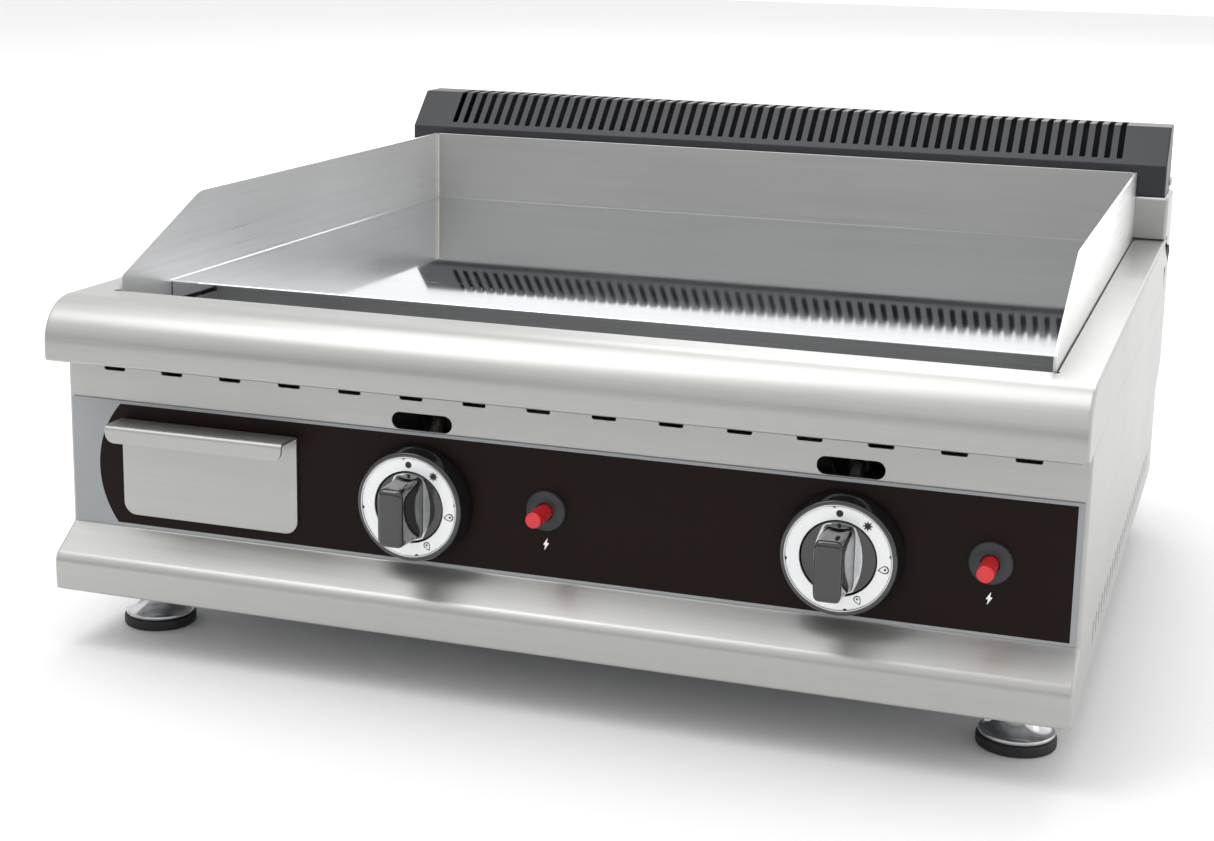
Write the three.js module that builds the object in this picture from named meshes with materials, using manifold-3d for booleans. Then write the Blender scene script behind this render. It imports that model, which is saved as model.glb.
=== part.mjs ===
// Counter-top gas griddle: a polished plate in a folded stainless cabinet, with a slotted flue cap at the
// rear, two gas valves with push-and-turn knobs, two push-button igniters, a grease drawer and screw feet.
// Millimetres. +X is the cook's right, +Y goes back to the flue, +Z is up, and the feet stand on z = 0.

import * as THREE from 'three';
import { mergeVertices } from 'three/addons/utils/BufferGeometryUtils.js';
import Module from 'manifold-3d';

const wasm = await Module();
wasm.setup();

// ---------------------------------------------------------------- driving dimensions

const clearance = 0.3; // left between pieces that touch
const arcSteps = 3; // half the facets in each rounded corner
const flareSteps = 4; // facets along a turned curve
const roundSteps = 18; // facets round a small cylinder
const dialSteps = 30; // facets round a bezel, dial or knob

const cabinet = {
  width: 600,
  depth: 540, // front of the rolled edge to the back of the rear panel
  height: 177, // lower edge of the skirt to the worktop
  sheet: 1.5,
  flange: 12, // inward return of a folded edge
};

const foot = {
  height: 36, // floor to the lower edge of the skirt
  insetX: 34, // side of the cabinet to the foot's axis
  insetFront: 65, // rolled edge to the front feet's axes
  insetRear: 55, // rear panel to the rear feet's axes
  padRadius: 22,
  padHeight: 6.5,
  rimRadius: 21,
  neckRadius: 9.5,
  studRadius: 4.8,
  studAbove: 14, // stud standing above the cabinet's lower edge
};

const deck = {
  lipHeight: 36, // rolled front edge and the flange round the other sides
  lipRadius: 26,
  openingFront: 44, // rolled edge to the cut-out
  openingSide: 22.5, // side of the cabinet to the cut-out
};

const panel = {
  setback: 25, // rolled edge to the front panel's face
  rise: 20, // panel continued up behind the rolled edge
  slopeTop: 37, // height of the skirt's upper fold above the cabinet's lower edge
  skirtTop: 21, // height of the skirt's lower fold above the cabinet's lower edge
  skirtSetback: 3, // rolled edge to the skirt's face
  skirtFlange: 24,
  cheek: 29, // side return behind the panel's face
};

const pan = { height: 11, slotLength: 50, slotWidth: 7, slotPitchX: 90, slotPitchY: 60 };

const vent = { count: 15, pitch: 38.3, width: 14, height: 6, below: 5.4 };
const lightingHole = { width: 37, height: 10, above: 0.5, offset: 2 };

const overlay = { thickness: 0.8, height: 77.4, sideMargin: 2.5 };

const plate = { thickness: 15, belowDeck: 3, front: 102, chamfer: 1.2 };

const guard = {
  sheet: 2,
  height: 49, // above the worktop
  frontHeight: 9, // above the worktop at the front corner
  slopeDepth: 94, // run of the sloping front edge
  front: 46,
  below: 16, // reach below the worktop
  cornerRadius: 20,
  rearHeight: 49, // rear guard above the worktop
};

const trough = { front: 46.5, rear: 114, depth: 39, drainX: -205, drainY: 80, drainRadius: 16.5 };
const spout = { wall: 1.5, flangeWidth: 8, length: 41 };

const drawer = {
  centreX: -205,
  faceWidth: 115,
  faceTop: 105, // above the cabinet's lower edge
  faceHeight: 59,
  faceCorner: 8,
  faceSheet: 1.5,
  handleReach: 19, // face to the front of the folded handle
  handleDrop: 10.5,
  handleCorner: 6,
  trayWidth: 104,
  trayLength: 306,
  trayHeight: 41,
  trayBottom: 51, // above the cabinet's lower edge
  traySheet: 1.2,
  slotClearance: 1.5,
  runnerSheet: 1.5,
  runnerLeg: 11,
  runnerStop: 14,
};

const knob = {
  firstX: -72, // left knob's axis
  pitch: 246, // between the two knobs
  axisHeight: 74.5, // above the cabinet's lower edge
  bezelBase: 33.5,
  bezelFront: 31,
  bezelDepth: 13,
  bezelBore: 24, // open middle, clear of the disc when the knob is pushed
  ringOuter: 28.6,
  ringInner: 20.9,
  ringThickness: 1.2,
  discRadius: 20.4,
  discThickness: 3.5,
  gripWidth: 16.5,
  gripHeight: 35,
  gripReach: 26.9, // disc's face to the front of the grip
  gripCorner: 2.5,
  gripBevel: 1.2,
  hubRadius: 7,
  push: 4,
};

const valve = {
  width: 34,
  height: 30,
  depth: 40,
  noseRadius: 9,
  noseLength: 3.5,
  spindleRadius: 4,
  bearing: 0.25, // radial clearance of the spindle and the plug
  plugRadius: 8,
  plugLength: 20,
  plugSocket: 10,
  panelHole: 10,
  outletRadius: 7,
  outletHeight: 2.5,
};

const igniter = {
  offsetX: 78, // knob's axis to the igniter's axis
  raise: 3.5, // above the knob's axis
  collarRadius: 12,
  collarThickness: 3.6,
  barrelRadius: 8.6,
  barrelLength: 38,
  holeRadius: 9,
  buttonRadius: 4.6,
  buttonReach: 18,
  buttonTail: 24,
  boreRadius: 4.9,
  boreDepth: 32,
  nutAcross: 24,
  nutThickness: 4,
};

const gasRail = { centreY: 84, radius: 11, wall: 2, left: -100, right: 255 };
const supply = { radius: 8, wall: 1.5, bend: 18, sideRun: 272, inletHeight: 36 };
const inlet = { threadRadius: 10.4, bore: 7, reach: 24, hexAcross: 30, hexThickness: 7, hole: 11.2 };
const injector = { radius: 4, startY: 50, height: 150, endY: 66, tipRadius: 5.5, tipLength: 8 };

const burner = {
  radius: 16,
  mouthY: 74,
  mouthBore: 12.5,
  mouthDepth: 30,
  bellRadius: 21,
  bellLength: 14,
  turnY: cabinet.depth - 105, // centre of the U-turn
  closedY: 130, // front end of the return leg
};

const chamber = {
  floor: injector.height - foot.height - burner.radius - 4, // tray's underside, 4 below the burners
  front: 116,
  side: 14,
  wall: 1.5,
  rim: 44,
};
const pilot = { offset: 21, bracketWidth: 36, bracketHeight: 28, tubeRadius: 3.6, length: 22, pitch: 12 };

const flue = {
  front: cabinet.depth - 18, // rolled edge to the flue's front wall
  height: 32, // above the worktop
  rear: cabinet.depth + 37,
  lowerRear: 76, // lower edges of the riser above the cabinet's lower edge
  lowerFront: 60,
  lip: 8,
  windowCount: 4,
  windowWidth: 110,
  windowHeight: 30,
  windowPitch: 138,
  windowRaise: 98,
};

const cap = {
  sideMargin: 3,
  setback: 1, // behind the flue's front wall
  bandHeight: 22,
  slopeRise: 26,
  slopeRun: 26,
  slotCount: 60,
  slotPitch: 8.9,
  slotWidth: 4.3,
  slotStart: 5, // along the slope, above the band
  slotEnd: 6, // short of the rear edge
};

const louvre = { count: 24, pitch: 17, width: 4, height: 13, raise: 14, firstY: 101 };

// ---------------------------------------------------------------- derived places

const halfWidth = cabinet.width / 2;
const bottomZ = foot.height;
const deckZ = bottomZ + cabinet.height;
const lipZ = deckZ - deck.lipHeight;
const seatZ = lipZ - clearance; // top of the pieces that carry the deck
const rearY = cabinet.depth;
const sheet = cabinet.sheet;
const panelY = panel.setback;
const overlayFaceY = panelY - clearance - overlay.thickness;
const cheekRearY = panelY + panel.cheek;
const overlayBottomZ = bottomZ + panel.slopeTop + 0.6;
const overlayTopZ = overlayBottomZ + overlay.height;
const openingHalf = halfWidth - deck.openingSide;
const guardOuterX = openingHalf - 1;
const guardInnerX = guardOuterX - guard.sheet;
const plateHalf = guardInnerX - clearance;
const plateTopZ = deckZ - plate.belowDeck;
const plateBottomZ = plateTopZ - plate.thickness;
const guardRearY = flue.front - clearance;
const rearGuardY = guardRearY - sheet;
const plateRearY = rearGuardY - clearance;
const knobAxisZ = bottomZ + knob.axisHeight;
const knobXs = [knob.firstX, knob.firstX + knob.pitch];
const igniterZ = knobAxisZ + igniter.raise;
const gripFrontY = overlayFaceY - knob.bezelDepth + 1 - knob.gripReach;
const burnerZ = injector.height;
const legPitch = knob.pitch / 2;
const drawerSlot = {
  half: drawer.trayWidth / 2 + drawer.slotClearance,
  bottom: bottomZ + drawer.trayBottom - drawer.slotClearance,
  top: bottomZ + drawer.trayBottom + drawer.trayHeight + drawer.slotClearance,
};
const sides = { left: -1, right: 1 };

// ---------------------------------------------------------------- geometry helpers

/** Signed volume of an indexed geometry, negative when its faces point inwards. */
function signedVolume(position, index) {
  const [a, b, c] = [new THREE.Vector3(), new THREE.Vector3(), new THREE.Vector3()];
  let volume = 0;
  for (let i = 0; i < index.length; i += 3) {
    a.fromBufferAttribute(position, index[i]);
    b.fromBufferAttribute(position, index[i + 1]);
    c.fromBufferAttribute(position, index[i + 2]);
    volume += a.dot(b.cross(c)) / 6;
  }
  return volume;
}

/** Turns a closed three.js geometry into a manifold-3d solid with its faces pointing out. */
function toSolid(geometry) {
  const bare = geometry.clone();
  bare.deleteAttribute('normal');
  bare.deleteAttribute('uv');
  const merged = mergeVertices(bare, 1e-3);
  const triangles = [];
  for (let i = 0; i < merged.index.count; i += 3) {
    const [a, b, c] = [0, 1, 2].map((corner) => merged.index.getX(i + corner));
    if (a !== b && b !== c && c !== a) triangles.push([a, b, c]);
  }
  const inward = signedVolume(merged.getAttribute('position'), triangles.flat()) < 0;
  const ordered = inward ? triangles.map(([a, b, c]) => [a, c, b]) : triangles;
  const vertProperties = new Float32Array(merged.getAttribute('position').array);
  const triVerts = new Uint32Array(ordered.flat());
  return new wasm.Manifold(new wasm.Mesh({ numProp: 3, vertProperties, triVerts }));
}

/** Turns a manifold-3d solid back into a three.js geometry. */
function toGeometry(solid) {
  const { vertProperties, triVerts } = solid.getMesh();
  const geometry = new THREE.BufferGeometry();
  geometry.setAttribute('position', new THREE.BufferAttribute(vertProperties, 3));
  geometry.setIndex(new THREE.BufferAttribute(triVerts, 1));
  const flat = geometry.toNonIndexed();
  flat.computeVertexNormals();
  return flat;
}

const union = (...solids) => solids.reduce((whole, next) => whole.add(next));
const cut = (solid, ...tools) => tools.reduce((rest, tool) => rest.subtract(tool), solid);

/** Closed straight-sided outline through [a, b] points. */
const polygon = (points) => new THREE.Shape(points.map(([a, b]) => new THREE.Vector2(a, b)));

/** Extrudes an outline drawn in [y, z] from x0 to x1. */
function alongX(shape, x0, x1) {
  const geometry = new THREE.ExtrudeGeometry(shape, {
    depth: x1 - x0, bevelEnabled: false, curveSegments: arcSteps,
  });
  const axes = [[0, 1, 0], [0, 0, 1], [1, 0, 0]].map((axis) => new THREE.Vector3(...axis));
  geometry.applyMatrix4(new THREE.Matrix4().makeBasis(...axes));
  return toSolid(geometry.translate(x0, 0, 0));
}

/** Extrudes an outline drawn in [x, z] from y0 to y1. */
function alongY(shape, y0, y1, curveSegments = arcSteps) {
  const geometry = new THREE.ExtrudeGeometry(shape, { depth: y1 - y0, bevelEnabled: false, curveSegments });
  return toSolid(geometry.rotateX(Math.PI / 2).translate(0, y1, 0));
}

/** Box between two opposite corners. */
function block([x0, x1], [y0, y1], [z0, z1]) {
  const geometry = new THREE.BoxGeometry(x1 - x0, y1 - y0, z1 - z0);
  return toSolid(geometry.translate((x0 + x1) / 2, (y0 + y1) / 2, (z0 + z1) / 2));
}

/** Cylinder along Y from y0 to y1. */
function rodY(x, z, radius, y0, y1, steps = roundSteps) {
  const geometry = new THREE.CylinderGeometry(radius, radius, y1 - y0, steps);
  return toSolid(geometry.translate(x, (y0 + y1) / 2, z));
}

/** Cylinder along Z from z0 to z1. */
function rodZ(x, y, radius, z0, z1, steps = roundSteps) {
  const geometry = new THREE.CylinderGeometry(radius, radius, z1 - z0, steps);
  return toSolid(geometry.rotateX(Math.PI / 2).translate(x, y, (z0 + z1) / 2));
}

/** Hexagonal prism along Y, measured across its flats. */
const hexY = (x, z, across, y0, y1) => rodY(x, z, across / Math.sqrt(3), y0, y1, 6);

/** Body turned about the Y axis from [radius, forward] points, forward being towards the cook. */
function turned(points, steps = roundSteps) {
  const profile = points.map(([radius, forward]) => new THREE.Vector2(radius, -forward));
  return toSolid(new THREE.LatheGeometry(profile, steps));
}

/** Body turned about the X axis from [radius, x] points. */
function turnedRight(points, steps = roundSteps) {
  const profile = points.map(([radius, x]) => new THREE.Vector2(radius, x));
  return toSolid(new THREE.LatheGeometry(profile, steps).rotateZ(-Math.PI / 2));
}

/** Body turned about the Z axis from [radius, height] points. */
function turnedUp(points, steps = roundSteps) {
  const profile = points.map(([radius, height]) => new THREE.Vector2(radius, height));
  return toSolid(new THREE.LatheGeometry(profile, steps).rotateX(Math.PI / 2));
}

/** Round tube along a curve, hollow when a wall is given, with an even number of sides. */
function tube(curve, radius, wall, steps, tubeSides = 12) {
  const section = new THREE.Shape();
  section.absarc(0, 0, radius, 0, 2 * Math.PI);
  if (wall) {
    const bore = new THREE.Path();
    bore.absarc(0, 0, radius - wall, 0, 2 * Math.PI, true);
    section.holes.push(bore);
  }
  const curveSegments = tubeSides / 2;
  return toSolid(new THREE.ExtrudeGeometry(section, { steps, curveSegments, extrudePath: curve }));
}

/** Moves an open path of [a, b] points to its left-hand side, with mitred corners. */
function offsetPath(path, distance) {
  const points = path.map(([a, b]) => new THREE.Vector2(a, b));
  const normals = points.slice(1).map((point, i) => {
    const along = point.clone().sub(points[i]).normalize();
    return new THREE.Vector2(-along.y, along.x);
  });
  return points.map((point, i) => {
    const before = normals[Math.max(i - 1, 0)];
    const after = normals[Math.min(i, normals.length - 1)];
    const mitre = before.clone().add(after).multiplyScalar(distance / (1 + before.dot(after)));
    return [point.x + mitre.x, point.y + mitre.y];
  });
}

/** Outline of a folded sheet: an open path thickened to its left-hand side. */
const foldedOutline = (path, thickness) => polygon([...path, ...offsetPath(path, thickness).reverse()]);

/** Path whose two end points are moved outwards along their segments. */
function lengthened(path, distance) {
  const push = ([a, b], [c, d]) => {
    const length = Math.hypot(a - c, b - d);
    return [a + ((a - c) / length) * distance, b + ((b - d) / length) * distance];
  };
  return [push(path[0], path[1]), ...path.slice(1, -1), push(path.at(-1), path.at(-2))];
}

/** Folded channel along X with closed ends, open between the two ends of its path. */
function channel(path, thickness, half) {
  const outer = alongX(polygon(path), -half, half);
  const hollow = polygon(offsetPath(lengthened(path, 1), thickness));
  return cut(outer, alongX(hollow, thickness - half, half - thickness));
}

/** Rectangle whose lower corners, or all corners, are rounded. */
function roundedRect([x0, x1], [z0, z1], radius, lowerOnly = false) {
  const shape = new THREE.Shape();
  shape.absarc(x1 - radius, z0 + radius, radius, -Math.PI / 2, 0);
  if (lowerOnly) {
    shape.lineTo(x1, z1);
    shape.lineTo(x0, z1);
  } else {
    shape.absarc(x1 - radius, z1 - radius, radius, 0, Math.PI / 2);
    shape.absarc(x0 + radius, z1 - radius, radius, Math.PI / 2, Math.PI);
  }
  shape.absarc(x0 + radius, z0 + radius, radius, Math.PI, 1.5 * Math.PI);
  return shape;
}

/** Level slot with round ends. */
function obround([x0, x1], [z0, z1]) {
  const radius = (z1 - z0) / 2;
  const shape = new THREE.Shape();
  shape.absarc(x1 - radius, z0 + radius, radius, -Math.PI / 2, Math.PI / 2);
  shape.absarc(x0 + radius, z0 + radius, radius, Math.PI / 2, 1.5 * Math.PI);
  return shape;
}

// ---------------------------------------------------------------- finishes

const finish = (color, roughness, metalness) => ({ color, roughness, metalness });
const finishes = {
  stainless: finish(0xc9c8c3, 0.34, 0.95),
  polished: finish(0xd9dadc, 0.06, 1.0),
  galvanised: finish(0x9fa3a6, 0.5, 0.85),
  anthracite: finish(0x4b4d52, 0.55, 0.2),
  overlay: finish(0x231815, 0.4, 0.0),
  gloss: finish(0x0b0b0c, 0.12, 0.0),
  dial: finish(0xeeeeee, 0.3, 0.1),
  red: finish(0xc8161d, 0.25, 0.0),
  plastic: finish(0x202224, 0.5, 0.0),
  brass: finish(0xb08d45, 0.35, 0.9),
  steel: finish(0x8b8e90, 0.4, 0.9),
  burner: finish(0x6e6a64, 0.55, 0.8),
  chrome: finish(0xdfe1e4, 0.08, 1.0),
  rubber: finish(0x171717, 0.85, 0.0),
  ceramic: finish(0xf0ece0, 0.35, 0.0),
};

/** Adds one named piece to a group. */
function addPiece(group, name, solid, surface) {
  const mesh = new THREE.Mesh(toGeometry(solid), new THREE.MeshStandardMaterial(surface));
  mesh.name = name;
  group.add(mesh);
  return mesh;
}

// ---------------------------------------------------------------- cabinet

/** Side view of the deck: rolled front edge, flat top and straight rear edge, down to a level. */
function deckSection(inset, lowZ) {
  const shape = new THREE.Shape();
  shape.moveTo(inset, lowZ);
  shape.lineTo(rearY - inset, lowZ);
  shape.lineTo(rearY - inset, deckZ - inset);
  shape.absarc(deck.lipRadius, deckZ - deck.lipRadius, deck.lipRadius - inset, Math.PI / 2, Math.PI);
  return shape;
}

/** Pressed worktop frame with a rolled and hemmed front edge, open below and cut out for the plate. */
function topDeck() {
  const inside = halfWidth - sheet;
  const outer = alongX(deckSection(0, lipZ), -halfWidth, halfWidth);
  const hollow = alongX(deckSection(sheet, lipZ + sheet), -inside, inside);
  const underside = block([-inside, inside], [cabinet.flange, rearY - sheet], [lipZ - 1, lipZ + 2 * sheet]);
  const opening = block([-openingHalf, openingHalf], [deck.openingFront, flue.front], [lipZ + sheet, deckZ + 1]);
  return cut(outer, hollow, underside, opening);
}

/** Rows of holes that the front panel and the overlay share. */
function frontHoles(y0, y1) {
  const slot = block(
    [drawer.centreX - drawerSlot.half, drawer.centreX + drawerSlot.half], [y0, y1],
    [drawerSlot.bottom, drawerSlot.top],
  );
  const valves = knobXs.map((x) => rodY(x, knobAxisZ, valve.panelHole, y0, y1));
  const igniters = knobXs.map((x) => rodY(x + igniter.offsetX, igniterZ, igniter.holeRadius, y0, y1));
  return [slot, ...valves, ...igniters];
}

/** Folded fascia: panel, slope, skirt and side cheeks in one sheet. */
function frontPanel() {
  const slopeZ = bottomZ + panel.slopeTop;
  const skirtZ = bottomZ + panel.skirtTop;
  const topZ = seatZ + panel.rise;
  const cheekEnd = cheekRearY - clearance;
  const inside = halfWidth - sheet;
  const fold = [
    [panelY, topZ], [panelY, slopeZ], [panel.skirtSetback, skirtZ], [panel.skirtSetback, bottomZ],
    [cheekEnd, bottomZ],
  ];
  const outer = alongX(polygon([...fold, [cheekEnd, topZ]]), -halfWidth, halfWidth);
  const hollowPath = [...offsetPath(lengthened(fold, 1), sheet), [cheekEnd + 1, topZ + 1]];
  const hollow = alongX(polygon(hollowPath), -inside, inside);
  const underside = block(
    [-inside, inside], [panel.skirtSetback + panel.skirtFlange, cheekEnd + 1], [bottomZ - 1, bottomZ + 2 * sheet],
  );
  const shoulders = Object.values(sides).map((side) => {
    const [x0, x1] = [side * (halfWidth - 2 * sheet), side * (halfWidth + 1)].sort((a, b) => a - b);
    return block([x0, x1], [panelY - 1, cheekEnd + 1], [seatZ, topZ + 1]);
  });
  const [y0, y1] = [panelY - 1, panelY + sheet + 1];
  const ventZ = lipZ - vent.below;
  const vents = Array.from({ length: vent.count }, (_, i) => {
    const x = (i - (vent.count - 1) / 2) * vent.pitch;
    const heights = [ventZ - vent.height / 2, ventZ + vent.height / 2];
    return block([x - vent.width / 2, x + vent.width / 2], [y0, y1], heights);
  });
  const lightingZ = overlayTopZ + lightingHole.above;
  const lighting = knobXs.map((x) => {
    const centre = x + lightingHole.offset;
    const span = [centre - lightingHole.width / 2, centre + lightingHole.width / 2];
    return alongY(obround(span, [lightingZ, lightingZ + lightingHole.height]), y0, y1);
  });
  return cut(outer, hollow, underside, ...shoulders, ...frontHoles(y0, y1), ...vents, ...lighting);
}

/** Printed overlay on the front panel, cut out for the drawer, the valves and the igniters. */
function controlOverlay() {
  const half = halfWidth - overlay.sideMargin;
  const [y0, y1] = [overlayFaceY, overlayFaceY + overlay.thickness];
  const film = block([-half, half], [y0, y1], [overlayBottomZ, overlayTopZ]);
  return cut(film, ...frontHoles(y0 - 1, y1 + 1));
}

/** Side sheet with folded edges and a row of upright air slits. */
function sidePanel(side) {
  const [frontY, endY] = [cheekRearY, rearY - sheet - clearance];
  const [inside, flangeX] = [halfWidth - sheet, halfWidth - cabinet.flange];
  const panTop = bottomZ + sheet + pan.height + 2 * clearance;
  const outer = block([flangeX, halfWidth], [frontY, endY], [bottomZ, seatZ]);
  const hollow = block([flangeX - 1, inside], [frontY + sheet, endY - sheet], [bottomZ + sheet, seatZ - sheet]);
  const panSpace = block([flangeX - 1, inside], [frontY - 1, endY + 1], [bottomZ + sheet, panTop]);
  const slits = Array.from({ length: louvre.count }, (_, i) => {
    const y = louvre.firstY + i * louvre.pitch;
    const z = bottomZ + louvre.raise;
    return block(
      [halfWidth - 2 * sheet, halfWidth + 1], [y - louvre.width / 2, y + louvre.width / 2],
      [z, z + louvre.height],
    );
  });
  const right = cut(outer, hollow, panSpace, ...slits);
  return side > 0 ? right : right.mirror([1, 0, 0]);
}

const footXs = Object.values(sides).map((side) => side * (halfWidth - foot.insetX));
const footYs = { front: foot.insetFront, rear: rearY - foot.insetRear };

/** Bottom tray that carries the feet, with air slots. */
function basePan() {
  const [x, frontY, endY] = [
    halfWidth - sheet - clearance, panel.skirtSetback + sheet + clearance, rearY - sheet - clearance,
  ];
  const z = bottomZ + sheet + clearance;
  const outer = block([-x, x], [frontY, endY], [z, z + pan.height]);
  const inner = block([-x + sheet, x - sheet], [frontY + sheet, endY - sheet], [z + sheet, z + pan.height + 1]);
  const holes = Object.values(footYs).flatMap((y) => footXs.map(
    (footX) => rodZ(footX, y, foot.studRadius + clearance, z - 1, z + sheet + 1),
  ));
  const slots = [-2, -1, 0, 1, 2].flatMap((column) => [-1.5, -0.5, 0.5, 1.5].map((row) => {
    const slotX = column * pan.slotPitchX;
    const slotY = (frontY + endY) / 2 + row * pan.slotPitchY;
    return block(
      [slotX - pan.slotLength / 2, slotX + pan.slotLength / 2],
      [slotY - pan.slotWidth / 2, slotY + pan.slotWidth / 2], [z - 1, z + sheet + 1],
    );
  }));
  return cut(outer, inner, ...holes, ...slots);
}

/** Rear sheet with the flue windows and the gas inlet's hole. */
function rearPanel() {
  const [y0, y1] = [rearY - sheet, rearY];
  const skin = block([-halfWidth, halfWidth], [y0, y1], [bottomZ, seatZ]);
  const windows = Array.from({ length: flue.windowCount }, (_, i) => {
    const x = (i - (flue.windowCount - 1) / 2) * flue.windowPitch;
    const z = bottomZ + flue.windowRaise;
    return block([x - flue.windowWidth / 2, x + flue.windowWidth / 2], [y0 - 1, y1 + 1], [z, z + flue.windowHeight]);
  });
  const inletHole = rodY(supply.sideRun, bottomZ + supply.inletHeight, inlet.hole, y0 - 1, y1 + 1);
  return cut(skin, ...windows, inletHole);
}

/** Folded cabinet with its printed overlay. */
function cabinetGroup() {
  const group = new THREE.Group();
  addPiece(group, 'top_deck', topDeck(), finishes.stainless);
  addPiece(group, 'front_panel', frontPanel(), finishes.stainless);
  addPiece(group, 'control_overlay', controlOverlay(), finishes.overlay);
  for (const [name, side] of Object.entries(sides)) {
    addPiece(group, `side_panel_${name}`, sidePanel(side), finishes.stainless);
  }
  addPiece(group, 'base_pan', basePan(), finishes.galvanised);
  addPiece(group, 'rear_panel', rearPanel(), finishes.galvanised);
  return group;
}

// ---------------------------------------------------------------- feet

/** Screw foot: a flared bell with its stud, on a rubber pad. The group's origin is on the floor. */
function footGroup(name) {
  const group = new THREE.Group();
  const rimZ = foot.padHeight + clearance;
  const neckZ = foot.height - 5;
  const flare = new THREE.QuadraticBezierCurve(
    new THREE.Vector2(foot.rimRadius, rimZ + 1.5),
    new THREE.Vector2(foot.neckRadius, rimZ + 4),
    new THREE.Vector2(foot.neckRadius, neckZ),
  ).getPoints(flareSteps).map((point) => [point.x, point.y]);
  const collarZ = foot.height + cabinet.sheet;
  addPiece(group, `${name}_bell`, turnedUp([
    [0, rimZ], [foot.rimRadius, rimZ], ...flare, [foot.neckRadius, collarZ], [foot.studRadius, collarZ],
    [foot.studRadius, foot.height + foot.studAbove], [0, foot.height + foot.studAbove],
  ]), finishes.chrome);
  addPiece(group, `${name}_pad`, turnedUp([
    [0, 0], [foot.padRadius - 1, 0], [foot.padRadius, 1], [foot.padRadius, foot.padHeight - 1],
    [foot.padRadius - 1, foot.padHeight], [0, foot.padHeight],
  ]), finishes.rubber);
  return group;
}

/** Four feet under the base pan. */
function feetGroup() {
  const group = new THREE.Group();
  for (const [rowName, y] of Object.entries(footYs)) {
    Object.keys(sides).forEach((sideName, i) => {
      const one = footGroup(`foot_${rowName}_${sideName}`);
      one.position.set(footXs[i], y, 0);
      group.add(one);
    });
  }
  return group;
}

// ---------------------------------------------------------------- cooking surface

/** Thick plate with its front edge broken by a small chamfer. */
function griddlePlate() {
  const { front, chamfer } = plate;
  const section = polygon([
    [front, plateBottomZ], [plateRearY, plateBottomZ], [plateRearY, plateTopZ], [front + chamfer, plateTopZ],
    [front, plateTopZ - chamfer],
  ]);
  return alongX(section, -plateHalf, plateHalf);
}

/** Side splash guard with a sloping front edge and a rounded upper corner. */
function sideGuard(side) {
  const bottom = deckZ - guard.below;
  const lowCorner = new THREE.Vector2(guard.front, deckZ + guard.frontHeight);
  const highCorner = new THREE.Vector2(guard.front + guard.slopeDepth, deckZ + guard.height);
  const slope = highCorner.clone().sub(lowCorner).normalize();
  const beforeCorner = highCorner.clone().addScaledVector(slope, -guard.cornerRadius);
  const shape = new THREE.Shape();
  shape.moveTo(guard.front, bottom);
  shape.lineTo(guardRearY, bottom);
  shape.lineTo(guardRearY, highCorner.y);
  shape.lineTo(highCorner.x + guard.cornerRadius, highCorner.y);
  shape.quadraticCurveTo(highCorner.x, highCorner.y, beforeCorner.x, beforeCorner.y);
  shape.lineTo(lowCorner.x, lowCorner.y);
  const [x0, x1] = [side * guardInnerX, side * guardOuterX].sort((a, b) => a - b);
  return alongX(shape, x0, x1);
}

/** Open grease gutter in front of the plate, with its drain hole. */
function greaseTrough() {
  const top = deckZ - sheet - clearance;
  const bottom = top - trough.depth;
  const rearTop = plateBottomZ - clearance;
  const path = [[trough.front, top], [trough.front, bottom], [trough.rear, bottom], [trough.rear, rearTop]];
  const plateSpace = block(
    [-plateHalf - 1, plateHalf + 1], [trough.front + sheet, trough.rear + 1], [rearTop, top + 1],
  );
  const drain = rodZ(trough.drainX, trough.drainY, trough.drainRadius, bottom - 1, bottom + sheet + 1);
  return cut(channel(path, sheet, plateHalf), plateSpace, drain);
}

/** Flanged spout from the gutter's drain down to the drawer. */
function drainSpout() {
  const top = deckZ - sheet - clearance - trough.depth - clearance;
  const outer = trough.drainRadius + spout.wall;
  const pipe = union(
    rodZ(trough.drainX, trough.drainY, outer, top - spout.length, top),
    rodZ(trough.drainX, trough.drainY, outer + spout.flangeWidth, top - spout.wall, top),
  );
  return cut(pipe, rodZ(trough.drainX, trough.drainY, trough.drainRadius, top - spout.length - 1, top + 1));
}

/** Plate, splash guards and grease gutter. */
function cookingGroup() {
  const group = new THREE.Group();
  addPiece(group, 'griddle_plate', griddlePlate(), finishes.polished);
  for (const [name, side] of Object.entries(sides)) {
    addPiece(group, `splash_guard_${name}`, sideGuard(side), finishes.stainless);
  }
  const rearGuard = block(
    [-plateHalf, plateHalf], [rearGuardY, guardRearY], [plateBottomZ, deckZ + guard.rearHeight],
  );
  addPiece(group, 'splash_guard_rear', rearGuard, finishes.stainless);
  addPiece(group, 'grease_trough', greaseTrough(), finishes.stainless);
  addPiece(group, 'drain_spout', drainSpout(), finishes.stainless);
  return group;
}

// ---------------------------------------------------------------- grease drawer

/** Drawer face whose top edge is folded forward and down into the handle. */
function drawerFace() {
  const t = drawer.faceSheet;
  const back = overlayFaceY - clearance;
  const top = bottomZ + drawer.faceTop;
  const half = drawer.faceWidth / 2;
  const span = [drawer.centreX - half, drawer.centreX + half];
  const face = alongY(roundedRect(span, [top - drawer.faceHeight, top - t / 2], drawer.faceCorner, true), back - t, back);
  const front = back - t - drawer.handleReach;
  const fold = [[back, top - t], [front + t, top - t], [front + t, top - drawer.handleDrop]];
  const shelf = alongX(foldedOutline(fold, -t), ...span);
  const reach = alongY(
    roundedRect(span, [top - drawer.handleDrop, top], drawer.handleCorner, true), front - 1, back + 1,
  );
  return union(face, shelf.intersect(reach));
}

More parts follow.
